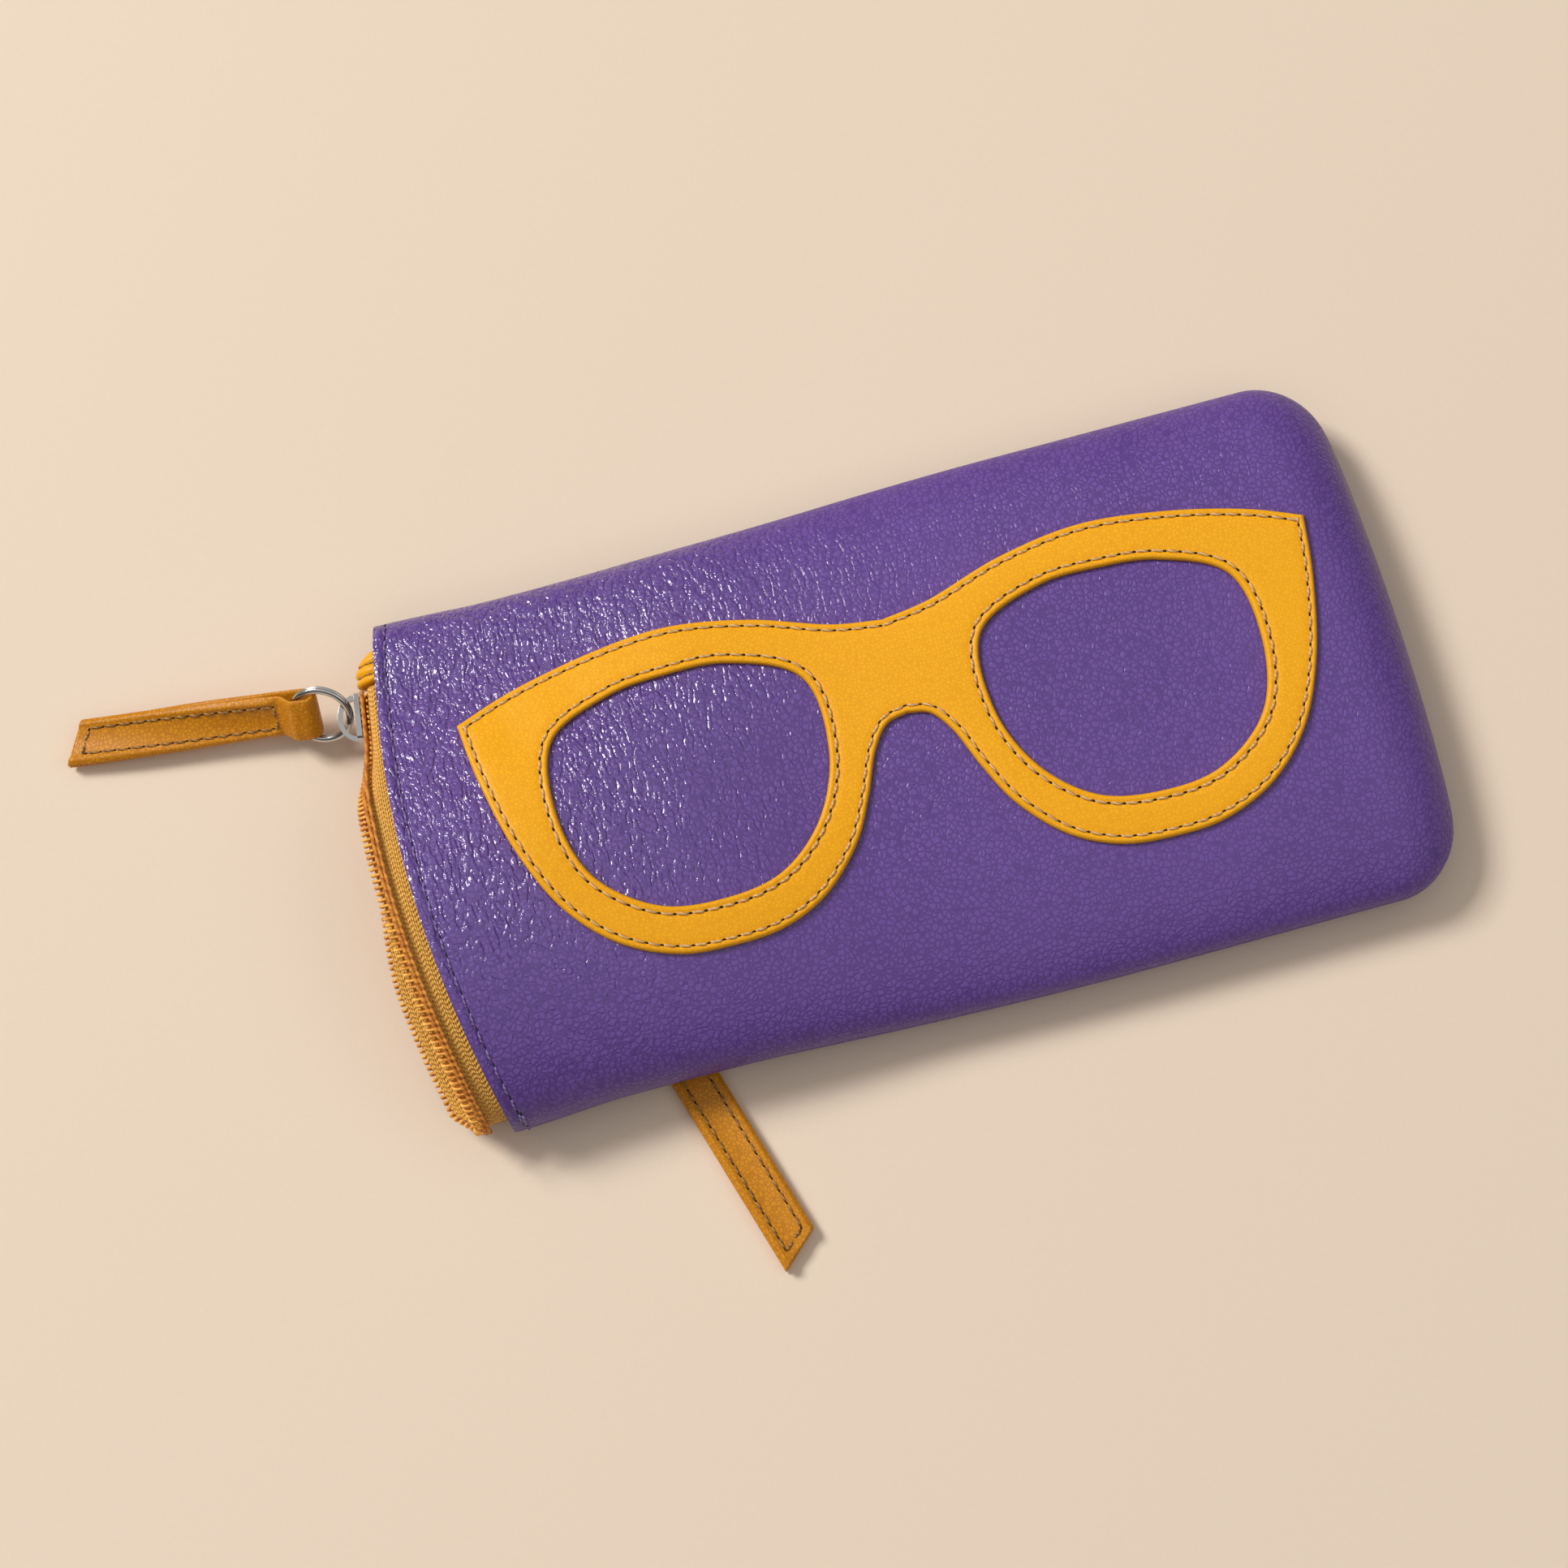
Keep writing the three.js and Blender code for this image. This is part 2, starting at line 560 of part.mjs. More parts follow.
/** A pull tab's side view: a flat folded strap that opens into a loop round the ring. */
function tabProfile(cavity) {
  const top = 2 * TAB_LAYER + cavity;
  const shape = new THREE.Shape();
  shape.moveTo(top * 0.45, 0);
  const steps = [0, 1, 2, 3, 4, 5, 6].map((i) => TAB_LOOP + 5 * i);
  for (const s of steps) shape.lineTo(s, 0);
  shape.lineTo(TAB_LENGTH + TAB_WIDTH, 0);
  shape.lineTo(TAB_LENGTH + TAB_WIDTH, TAB_THICK);
  for (const s of steps.slice(1).reverse()) shape.lineTo(s, TAB_THICK);
  shape.lineTo(TAB_LOOP, TAB_THICK);
  shape.bezierCurveTo(TAB_LOOP - 1.5, TAB_THICK, TAB_LOOP - 2, top, TAB_LOOP - 4.2, top);
  shape.lineTo(top * 0.45, top);
  shape.absellipse(top * 0.45, top / 2, top * 0.45, top / 2, Math.PI / 2, (3 * Math.PI) / 2, false);
  const hole = new THREE.Path();
  const left = TAB_LAYER + cavity * 0.45;
  const right = TAB_LOOP - 1.9;
  hole.moveTo(left, TAB_LAYER);
  const middle = TAB_LAYER + cavity / 2;
  hole.absellipse(left, middle, cavity * 0.45, cavity / 2, (3 * Math.PI) / 2, Math.PI / 2, true);
  hole.lineTo(TAB_LOOP - 4.2, TAB_LAYER + cavity);
  hole.lineTo(right, TAB_LAYER + 0.3);
  hole.lineTo(right, TAB_LAYER);
  shape.holes.push(hole);
  return shape;
}

/** Places a tab's own point: along the strap from its fold, across it, and up from its lower face. */
function tabPlacer(tab) {
  const along = tab.direction.clone().normalize();
  const flat = new THREE.Vector3(along.x, along.y, 0).normalize();
  const across = new THREE.Vector3(0, 0, 1).cross(flat);
  const up = along.clone().cross(across);
  const wireUp = TAB_LAYER + tab.cavity / 2;
  return (s, q, h) => {
    const twist = tab.twist * (1 - smoothstep(s, TAB_LOOP - 2, TAB_LENGTH));
    const y = q * Math.cos(twist) - (h - wireUp) * Math.sin(twist);
    const z = q * Math.sin(twist) + (h - wireUp) * Math.cos(twist);
    return tab.wire
      .clone()
      .addScaledVector(along, s - TAB_WIRE_AT)
      .addScaledVector(across, y)
      .addScaledVector(up, z);
  };
}

function tabBody(tab) {
  const strap = new THREE.ExtrudeGeometry(tabProfile(tab.cavity), {
    depth: TAB_WIDTH,
    bevelEnabled: false,
    curveSegments: 6,
  });
  strap.rotateX(Math.PI / 2);
  strap.translate(0, TAB_WIDTH / 2, 0);
  const block = new THREE.BoxGeometry(3 * TAB_WIDTH, 3 * TAB_WIDTH, 3 * TAB_WIDTH);
  block.translate(1.5 * TAB_WIDTH, 0, 0);
  block.rotateZ(-Math.atan2(tab.slant, TAB_WIDTH));
  block.translate(TAB_LENGTH, 0, 0);
  const cut = fromSolid(toSolid(strap).subtract(toSolid(block)));
  const place = tabPlacer(tab);
  return moved(cut.toNonIndexed(), (x, y, z) => place(x, y, z));
}

/** The stitch line round the flat part of a tab, as a flat ring of thread on its upper face. */
function tabThread(tab) {
  const ringOutline = (inset) => {
    const half = TAB_WIDTH / 2 - inset;
    const lean = (tab.slant * half) / TAB_WIDTH;
    const tip = TAB_LENGTH - inset * 1.05;
    const root = TAB_LOOP + 1.2 + (inset - TAB_SEAM);
    const corners = [[root, -half], [tip - lean, -half], [tip + lean, half], [root, half]];
    const steps = 8;
    return corners.flatMap(([x, y], i) => {
      const [nx, ny] = corners[(i + 1) % 4];
      const count = i % 2 === 0 ? steps : 1;
      const along = (k) => new THREE.Vector2(lerp(x, nx, k / count), lerp(y, ny, k / count));
      return Array.from({ length: count }, (_, k) => along(k));
    });
  };
  const shape = new THREE.Shape(ringOutline(TAB_SEAM - THREAD_WIDTH / 2));
  shape.holes.push(new THREE.Path(ringOutline(TAB_SEAM + THREAD_WIDTH / 2)));
  const flat = new THREE.ExtrudeGeometry(shape, { depth: THREAD_HEIGHT, bevelEnabled: false });
  const place = tabPlacer(tab);
  return moved(flat, (x, y, z) => place(x, y, z + TAB_THICK + GAP + 0.1));
}

// ---- The pocket zip -----------------------------------------------------------------------------

const POCKET_TAPE_INSET = LEATHER + GAP + POCKET_TAPE_EASE;
const POCKET_TAPE_Z = PLATEAU_LIFT + POCKET_TAPE_INSET + TAPE / 2;

function windowCutter(grow, low, height) {
  const width = WINDOW_WIDTH + 2 * grow;
  const length = 2 * (WINDOW_HALF + grow);
  const round = 2 + grow;
  const shape = new THREE.Shape();
  shape.moveTo(-width / 2 + round, -length / 2);
  shape.lineTo(width / 2 - round, -length / 2);
  shape.absarc(width / 2 - round, -length / 2 + round, round, -Math.PI / 2, 0);
  shape.lineTo(width / 2, length / 2 - round);
  shape.absarc(width / 2 - round, length / 2 - round, round, 0, Math.PI / 2);
  shape.lineTo(-width / 2 + round, length / 2);
  shape.absarc(-width / 2 + round, length / 2 - round, round, Math.PI / 2, Math.PI);
  shape.lineTo(-width / 2, -length / 2 + round);
  shape.absarc(-width / 2 + round, -length / 2 + round, round, Math.PI, (3 * Math.PI) / 2);
  const block = new THREE.ExtrudeGeometry(shape, { depth: height, bevelEnabled: false, curveSegments: 4 });
  return toSolid(block.translate(POCKET_ZIP_X, 0, low));
}

function backPanel() {
  const panel = toSolid(layer(-1, 0, 0, LEATHER));
  return fromSolid(panel.subtract(windowCutter(0, 0, 3 * LEATHER + PLATEAU_LIFT)));
}

function windowThread() {
  const low = PLATEAU_LIFT - GAP - THREAD_HEIGHT;
  const outer = windowCutter(WINDOW_STITCH + THREAD_WIDTH / 2, low, THREAD_HEIGHT);
  const inner = windowCutter(WINDOW_STITCH - THREAD_WIDTH / 2, low - 1, THREAD_HEIGHT + 2);
  return fromSolid(outer.subtract(inner));
}

/** A strip of the pocket zip: it lies close to its twin, and parts from it at the slider's divider. */
function pocketStrip(side, half, width, z, height) {
  const parting = DIVIDER / 2 + GAP / 2;
  const divider = POCKET_SLIDER_Y - SLIDER_LENGTH / 2 + 2.3;
  return bentBox(1, 24, 1, (a, b, c) => {
    const y = lerp(-half, half, b);
    const near = GAP / 2 + parting * (1 - smoothstep(y, divider, divider + 3));
    const across = side > 0 ? lerp(near, width, a) : -lerp(width, near, a);
    return new THREE.Vector3(POCKET_ZIP_X + across, y, z + (c - 0.5) * height);
  });
}

function pocketTape(side) {
  return pocketStrip(side, WINDOW_HALF + 2, POCKET_TAPE_WIDTH, POCKET_TAPE_Z, TAPE);
}

function pocketCoil(side) {
  const z = POCKET_TAPE_Z - TAPE / 2 - GAP - COIL_HEIGHT / 2;
  return pocketStrip(side, WINDOW_HALF - 0.5, COIL_WIDTH + GAP / 2, z, COIL_HEIGHT);
}

const POCKET_OUTER_INSET = LEATHER + GAP;
const POCKET_INNER_INSET = POCKET_TAPE_INSET + TAPE + GAP + INNER_PLATE + POCKET_SLIDER_CLEARANCE;

/** The flat pocket: one sheet that runs in from the zip, folds back and ends over the other tape. */
function pocketLining() {
  const outerFrom = fromMouth(POCKET_ZIP_X + POCKET_TAPE_WIDTH + 1, 0);
  const innerTo = fromMouth(POCKET_ZIP_X - POCKET_TAPE_WIDTH, 0);
  const middleLow = POCKET_OUTER_INSET + POCKET_SHEET / 2;
  const radius = (POCKET_INNER_INSET + POCKET_SHEET / 2 - middleLow) / 2;
  const run = STATIONS.filter((s) => s > outerFrom && s < POCKET_DEPTH);
  const back = [...STATIONS.filter((s) => s > innerTo && s < POCKET_DEPTH)].reverse();
  const turns = 6;
  const path = [
    ...[outerFrom, ...run, POCKET_DEPTH].map((s) => [s, middleLow, 0, 1]),
    ...Array.from({ length: turns }, (_, i) => {
      const angle = (Math.PI * (i + 1)) / turns;
      const up = middleLow + radius - radius * Math.cos(angle);
      return [POCKET_DEPTH + radius * Math.sin(angle), up, -Math.sin(angle), Math.cos(angle)];
    }),
    ...[...back, innerTo].map((s) => [s, middleLow + 2 * radius, 0, -1]),
  ];
  return bentBox(path.length - 1, 4, 1, (a, b, c) => {
    const [s, up, nx, nz] = path[Math.round(a * (path.length - 1))];
    const n = (c - 0.5) * POCKET_SHEET;
    const y = lerp(-POCKET_HALF_WIDTH, POCKET_HALF_WIDTH, b);
    return new THREE.Vector3(caseX(s, y) + n * nx, y, backHeight(s) + up + n * nz);
  });
}

// ---- Where the moving pieces lie ----------------------------------------------------------------

const Z_AXIS = new THREE.Vector3(0, 0, 1);
const mouthZipZ = seamHeight(0);
const mouthTapeX = mouthX(MOUTH_SLIDER_Y) - TAPE_LEAD_SHUT - TAPE_BEND / (Math.PI / 2);
const bridgeHole = BRIDGE_AT + (BRIDGE_HEIGHT - BRIDGE_BAND) / 2;
const mouthTurn = -Math.asin((MOUTH_SLIDER_Y - MOUTH_BOW_Y) / MOUTH_BOW_RADIUS);
const mouthHole = new THREE.Vector3(-bridgeHole + 0.15, 0.6, 0).applyAxisAngle(Z_AXIS, mouthTurn);
const MOUTH_RING = ringFrame(
  mouthHole.add(new THREE.Vector3(mouthTapeX, MOUTH_SLIDER_Y, mouthZipZ)),
  new THREE.Vector3(-0.936, 0.341, -0.087),
  THREE.MathUtils.degToRad(48),
);
const MOUTH_TAB_SLOPE = 0.1;
const mouthTabDirection = new THREE.Vector3(-0.986, 0.164, -MOUTH_TAB_SLOPE);
const MOUTH_TAB = {
  direction: mouthTabDirection,
  wire: ringFarPoint(MOUTH_RING, mouthTabDirection),
  cavity: 3.3,
  twist: THREE.MathUtils.degToRad(-43),
  slant: 3.3,
};
const POCKET_RING = ringFrame(
  new THREE.Vector3(POCKET_ZIP_X, POCKET_SLIDER_Y, POCKET_TAPE_Z - bridgeHole - 0.4),
  new THREE.Vector3(0.58, -0.81, -0.01),
  0,
);
const pocketTabDirection = new THREE.Vector3(0.28, -0.96, 0);
const POCKET_TAB = {
  direction: pocketTabDirection,
  wire: ringFarPoint(POCKET_RING, pocketTabDirection),
  cavity: 1.9,
  twist: 0,
  slant: -4.3,
};

// ---- Finishes and assembly ----------------------------------------------------------------------

function finish(color, roughness, metalness = 0) {
  return new THREE.MeshStandardMaterial({ color, roughness, metalness });
}
const PURPLE = finish(0x553a86, 0.45);
const YELLOW = finish(0xefa823, 0.5);
const OCHRE = finish(0xc98a24, 0.55);
const TAPE_CLOTH = finish(0xd9922b, 0.85);
const COIL_PLASTIC = finish(0xe09a35, 0.5);
const NICKEL = finish(0xd8d8d6, 0.2, 1);
const FOAM = finish(0xd8d3c8, 0.95);
const LINING_CLOTH = finish(0x2c2138, 0.9);
const TAN_THREAD = finish(0xd9b06a, 0.7);
const PURPLE_THREAD = finish(0x6a4f9c, 0.7);
const OCHRE_THREAD = finish(0xb98a45, 0.7);

const organizer = new THREE.Group();

function add(name, geometry, material) {
  const mesh = new THREE.Mesh(geometry, material);
  mesh.name = name;
  organizer.add(mesh);
  return mesh;
}

function addTurned(name, geometry, material, at, turnY, turnZ) {
  const mesh = add(name, geometry, material);
  mesh.position.copy(at);
  mesh.rotation.set(0, turnY, turnZ, "ZYX");
}

const FRONT_LINING_INSET = LEATHER + GAP + PADDING + GAP;
const BACK_PADDING_INSET = POCKET_INNER_INSET + POCKET_SHEET + GAP;

const LINING_OVER_TAPE = TAPE_INSET + TAPE / 2 + LINING_EASE;
const LINING_OVER_POCKET = POCKET_INNER_INSET + POCKET_SHEET + GAP + POCKET_EASE;
const LINING_OVER_PADDING = BACK_PADDING_INSET + BACK_PADDING + GAP;

/** The back lining passes inside the mouth tape, then the pocket, then the padding. */
function liningInset(s) {
  const pocket = lerp(LINING_OVER_TAPE, LINING_OVER_POCKET, smoothstep(s, OVER_POCKET_FROM, PLATEAU_FROM));
  return pocket + (LINING_OVER_PADDING - LINING_OVER_POCKET) * smoothstep(s, OVER_PADDING_FROM, OVER_PADDING_TO);
}

add("front_panel", layer(1, 0, 0, LEATHER), PURPLE);
add("back_panel", backPanel(), PURPLE);
add("front_padding", layer(1, 1, LEATHER + GAP, PADDING), FOAM);
add("back_padding", layer(-1, 6, BACK_PADDING_INSET, BACK_PADDING), FOAM);
add("front_lining", layer(1, 1, FRONT_LINING_INSET, LINING), LINING_CLOTH);
add("back_lining", layer(-1, 1, liningInset, LINING), LINING_CLOTH);
add("pocket_lining", pocketLining(), LINING_CLOTH);

const outline = glassesOutline();
const eyes = [-1, 1].map(eyeOutline);
add("glasses_applique", sheetOnFront(outline, eyes, GAP, APPLIQUE), YELLOW);
add("applique_edge_thread", appliqueThread(outline, APPLIQUE_STITCH), TAN_THREAD);
add("applique_left_eye_thread", appliqueThread(eyes[0], -EYE_STITCH), TAN_THREAD);
add("applique_right_eye_thread", appliqueThread(eyes[1], -EYE_STITCH), TAN_THREAD);
add("front_lip_thread", lipThread(1), PURPLE_THREAD);
add("back_lip_thread", lipThread(-1), PURPLE_THREAD);

add("mouth_zip_front_tape", mouthTape(1), TAPE_CLOTH);
add("mouth_zip_back_tape", mouthTape(-1), TAPE_CLOTH);
add("mouth_zip_front_coil", mouthCoil(1), COIL_PLASTIC);
add("mouth_zip_back_coil", mouthCoil(-1), COIL_PLASTIC);
add("mouth_zip_end_cap", endCap(), YELLOW);
add("mouth_zip_cap_thread_near", capThread(lerp(CAP_FROM, CAP_TO, 0.3)), OCHRE_THREAD);
add("mouth_zip_cap_thread_far", capThread(lerp(CAP_FROM, CAP_TO, 0.55)), OCHRE_THREAD);
const mouthSliderAt = new THREE.Vector3(mouthTapeX, MOUTH_SLIDER_Y, mouthZipZ);
addTurned("mouth_slider", sliderBody(0.45), NICKEL, mouthSliderAt, -Math.PI / 2, mouthTurn);
add("mouth_pull_ring", ringBody(MOUTH_RING), NICKEL);
add("mouth_pull_tab", tabBody(MOUTH_TAB), OCHRE);
add("mouth_pull_thread", tabThread(MOUTH_TAB), OCHRE_THREAD);

add("pocket_zip_outer_tape", pocketTape(-1), TAPE_CLOTH);
add("pocket_zip_inner_tape", pocketTape(1), TAPE_CLOTH);
add("pocket_zip_outer_coil", pocketCoil(-1), COIL_PLASTIC);
add("pocket_zip_inner_coil", pocketCoil(1), COIL_PLASTIC);
const pocketSliderAt = new THREE.Vector3(POCKET_ZIP_X, POCKET_SLIDER_Y, POCKET_TAPE_Z);
addTurned("pocket_slider", sliderBody(0), NICKEL, pocketSliderAt, Math.PI, 0);
add("pocket_pull_ring", ringBody(POCKET_RING), NICKEL);
add("pocket_pull_tab", tabBody(POCKET_TAB), OCHRE);
add("pocket_pull_thread", tabThread(POCKET_TAB), OCHRE_THREAD);
add("pocket_window_thread", windowThread(), PURPLE_THREAD);

export default organizer;
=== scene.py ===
"""A padded leather case for several pairs of glasses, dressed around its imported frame.

Lengths in this file are millimetres until a mesh is made, and metres from there on. +X runs from the open
mouth to the closed end, +Y across the width and +Z up through the front.
"""

import logging
import math
from dataclasses import dataclass, field
from enum import Enum

import bmesh
import bpy
import numpy as np
from mathutils import Matrix, Vector, geometry


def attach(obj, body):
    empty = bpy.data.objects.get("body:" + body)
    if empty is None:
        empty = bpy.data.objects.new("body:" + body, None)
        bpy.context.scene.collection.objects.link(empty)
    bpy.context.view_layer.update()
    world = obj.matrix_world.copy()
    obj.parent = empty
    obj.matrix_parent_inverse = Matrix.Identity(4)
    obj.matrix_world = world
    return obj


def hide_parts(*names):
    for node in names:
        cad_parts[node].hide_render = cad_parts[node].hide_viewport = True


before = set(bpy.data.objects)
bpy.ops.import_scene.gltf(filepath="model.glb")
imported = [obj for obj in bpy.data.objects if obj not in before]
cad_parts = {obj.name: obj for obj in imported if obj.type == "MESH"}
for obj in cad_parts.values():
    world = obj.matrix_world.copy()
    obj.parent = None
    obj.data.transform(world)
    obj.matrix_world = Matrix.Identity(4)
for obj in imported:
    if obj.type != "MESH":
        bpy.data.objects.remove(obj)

log = logging.getLogger("organizer")
MM = 0.001
GAP = 0.3
LEATHER = 1.3
STITCH_RADIUS = 0.27

# The share of the half width out to which a skin is followed, just inside the side seam.
EDGE = 0.999


class Side(Enum):
    """The two faces of the case."""

    FRONT = 1
    BACK = -1


# ---- Arithmetic on whole arrays ------------------------------------------------------------------


def smoothstep(x: np.ndarray, low: float, high: float) -> np.ndarray:
    """A smooth step from 0 at low to 1 at high: 3t squared less 2t cubed.

    Args:
        x: The places to work it out at.
        low: Where it starts to rise.
        high: Where it reaches 1.

    Returns:
        The step at each place.
    """
    t = np.clip((np.asarray(x, float) - low) / (high - low), 0, 1)
    return t * t * (3 - 2 * t)


def unit(v: np.ndarray) -> np.ndarray:
    """Vectors divided by their lengths."""
    return v / np.maximum(np.linalg.norm(v, axis=-1, keepdims=True), 1e-12)


def bell(x: np.ndarray, centre: float, width: float) -> np.ndarray:
    """A bell curve that is 1 at its centre: e to the minus square of the distance over the width."""
    return np.exp(-(((x - centre) / width) ** 2))


def running(path: np.ndarray) -> np.ndarray:
    """Each point's distance from the first, measured along a line."""
    return np.concatenate([[0], np.cumsum(np.linalg.norm(np.diff(path, axis=0), axis=1))])


def along(places: np.ndarray, run: np.ndarray, values: np.ndarray) -> np.ndarray:
    """The values at places along a line, from their values at its points.

    Args:
        places: Distances along the line.
        run: The points' own distances along it.
        values: A row of values for each point.

    Returns:
        A row of values for each place.
    """
    return np.stack([np.interp(places, run, values[:, k]) for k in range(values.shape[1])], axis=-1)


def catmull(points: list[tuple[float, float]], step: float, closed: bool = False) -> np.ndarray:
    """A centripetal Catmull-Rom curve through plan points, cut into equal steps.

    Args:
        points: The points that the curve passes through.
        step: The distance between the points returned.
        closed: Whether the curve joins its own start.

    Returns:
        Points along the curve, the last one included on an open curve.
    """
    p = np.array(points, float)
    if closed:
        p = np.vstack([p[-1], p, p[0], p[1]])
    else:
        p = np.vstack([2 * p[0] - p[1], p, 2 * p[-1] - p[-2]])
    a, b, c, d = p[:-3], p[1:-2], p[2:-1], p[3:]
    ab, bc, cd = (np.sqrt(np.linalg.norm(v - u, axis=1))[:, None] for u, v in ((a, b), (b, c), (c, d)))
    leave = bc * ((b - a) / ab - (c - a) / (ab + bc) + (c - b) / bc)
    arrive = bc * ((c - b) / bc - (d - b) / (bc + cd) + (d - c) / cd)
    t = np.linspace(0, 1, 40, endpoint=False)[None, :, None]
    b, c, leave, arrive = (v[:, None, :] for v in (b, c, leave, arrive))
    curve = (
        (2 * t**3 - 3 * t**2 + 1) * b
        + (t**3 - 2 * t**2 + t) * leave
        + (3 * t**2 - 2 * t**3) * c
        + (t**3 - t**2) * arrive
    ).reshape(-1, 2)
    curve = np.vstack([curve, p[-2]])
    return even(curve, step, closed)


def even(curve: np.ndarray, step: float, closed: bool = False) -> np.ndarray:
    """The same line cut into equal steps.

    Args:
        curve: Points of the line; a closed line ends on its first point.
        step: The distance wanted between points.
        closed: Whether to leave out the last point, which is the first again.

    Returns:
        Points the same distance apart along the line.
    """
    run = running(curve)
    count = max(int(round(run[-1] / step)), 2)
    found = along(np.linspace(0, run[-1], count + 1), run, curve)
    return found[:-1] if closed else found


def distance_to(points: np.ndarray, outline: np.ndarray) -> np.ndarray:
    """Each point's distance to a closed outline: the least over its segments.

    Args:
        points: Plan points.
        outline: The outline's points, in order.

    Returns:
        A distance for each point.
    """
    best = np.full(len(points), 1e9)
    ends = np.roll(outline, -1, axis=0)
    for low in range(0, len(outline), 100):
        a, b = outline[low : low + 100], ends[low : low + 100]
        ab = b - a
        t = ((points[:, None] - a) * ab).sum(-1) / (ab * ab).sum(-1)
        near = a + np.clip(t, 0, 1)[..., None] * ab
        best = np.minimum(best, np.linalg.norm(points[:, None] - near, axis=-1).min(1))
    return best


def inside(points: np.ndarray, outline: np.ndarray) -> np.ndarray:
    """Whether each plan point is inside an outline: a ray along +X crosses it an odd number of times."""
    a, b = outline, np.roll(outline, -1, axis=0)
    y = points[:, 1:2]
    crossed = (a[:, 1] > y) != (b[:, 1] > y)
    x = a[:, 0] + (y - a[:, 1]) * (b[:, 0] - a[:, 0]) / np.where(b[:, 1] == a[:, 1], 1e-9, b[:, 1] - a[:, 1])
    return (crossed & (points[:, 0:1] < x)).sum(1) % 2 == 1


def inset(outline: np.ndarray, distance: float) -> np.ndarray:
    """An anticlockwise outline moved inwards by a distance, each point along its own mitre."""
    first = unit(outline - np.roll(outline, 1, axis=0))
    second = unit(np.roll(outline, -1, axis=0) - outline)
    left = np.stack([-first[:, 1], first[:, 0]], axis=1)
    normal = unit(left + np.stack([-second[:, 1], second[:, 0]], axis=1))
    share = np.maximum((normal * left).sum(1, keepdims=True), 0.35)
    return outline + normal * distance / share


# ---- Meshes --------------------------------------------------------------------------------------


def grid_quads(rows: int, columns: int, wrap: bool = False, start: int = 0) -> np.ndarray:
    """Quads of a grid of points numbered row by row.

    Args:
        rows: Rows of points.
        columns: Points in a row.
        wrap: Whether each row closes on itself.
        start: The first point's number.

    Returns:
        Four point numbers for each quad.
    """
    i, j = np.meshgrid(np.arange(rows - 1), np.arange(columns if wrap else columns - 1), indexing="ij")
    this, below, after = i * columns, (i + 1) * columns, (j + 1) % columns
    quads = np.stack([this + j, below + j, below + after, this + after], -1)
    return quads.reshape(-1, 4) + start


def open_edges(faces: np.ndarray, count: int) -> np.ndarray:
    """The edges that belong to one face only, as pairs of point numbers, for faces on so many points."""
    edges = np.stack([faces, np.roll(faces, -1, axis=1)], -1).reshape(-1, 2)
    _, where, times = np.unique(edges.min(1) * count + edges.max(1), return_index=True, return_counts=True)
    return edges[where[times == 1]]


def wall(rim: np.ndarray, count: int) -> np.ndarray:
    """Quads from each open edge to the same edge of a second face, whose points are numbered count later."""
    return np.stack([rim[:, 1], rim[:, 0], rim[:, 0] + count, rim[:, 1] + count], axis=1)


@dataclass
class Surface:
    """Points in millimetres, the faces between them, and what each face and point carries."""

    points: np.ndarray
    faces: list[np.ndarray]
    slots: list[int] = field(default_factory=list)
    uv: np.ndarray | None = None

    @staticmethod
    def joined(parts: list["Surface"]) -> "Surface":
        """Several surfaces as one, in order."""
        offset, points, faces, slots, uvs = 0, [], [], [], []
        for part in parts:
            points.append(part.points)
            faces += [f + offset for f in part.faces]
            slots += part.slots or [0] * len(part.faces)
            uvs.append(part.uv if part.uv is not None else np.zeros((len(part.points), 2)))
            offset += len(part.points)
        return Surface(np.vstack(points), faces, slots, np.vstack(uvs))


def shell(
    outer: np.ndarray, inner: np.ndarray, keep: np.ndarray | None = None, uv: np.ndarray | None = None
) -> Surface:
    """A closed sheet between two grids of points, with a wall round its edge and round any opening.

    Args:
        outer: The outer face's grid, rows by columns by 3.
        inner: The inner face's grid.
        keep: Which cells of the grid are there, if not all.
        uv: Pattern coordinates of the grid's points, in millimetres.

    Returns:
        The sheet.
    """
    rows, columns = outer.shape[:2]
    keep = np.ones((rows - 1, columns - 1), bool) if keep is None else keep
    quads = grid_quads(rows, columns)[keep.ravel()]
    count = rows * columns
    sides = wall(open_edges(quads, count), count)
    points = np.vstack([outer.reshape(-1, 3), inner.reshape(-1, 3)])
    pattern = None if uv is None else np.vstack([uv.reshape(-1, 2)] * 2)
    return Surface(points, [quads, quads[:, ::-1] + count, sides], [0, 0, 0], pattern)


def swept(path: np.ndarray, up: np.ndarray, across: np.ndarray, height: np.ndarray) -> Surface:
    """Sections carried along paths: at each path point the section stands across the path and up.

    Args:
        path: Points, as paths by steps by 3.
        up: The way up at each of them.
        across: The sections' sideways places, as paths by steps by sides.
        height: The sections' heights, the same.

    Returns:
        One closed tube for each path, with a flat face at each end.
    """
    tubes, steps, sides = across.shape
    ahead = np.gradient(path, axis=1)
    sideways = unit(np.cross(ahead, up))
    upright = unit(np.cross(sideways, ahead))
    points = path[:, :, None] + sideways[:, :, None] * across[..., None]
    points = points + upright[:, :, None] * height[..., None]
    quads = grid_quads(steps, sides, wrap=True)
    first = np.arange(tubes)[:, None] * steps * sides
    body = (quads[None] + first[..., None]).reshape(-1, 4)
    near_end = np.arange(sides)[None] + first
    ends = np.concatenate([near_end, near_end + (steps - 1) * sides])
    return Surface(points.reshape(-1, 3), [body, ends], [0, 0])


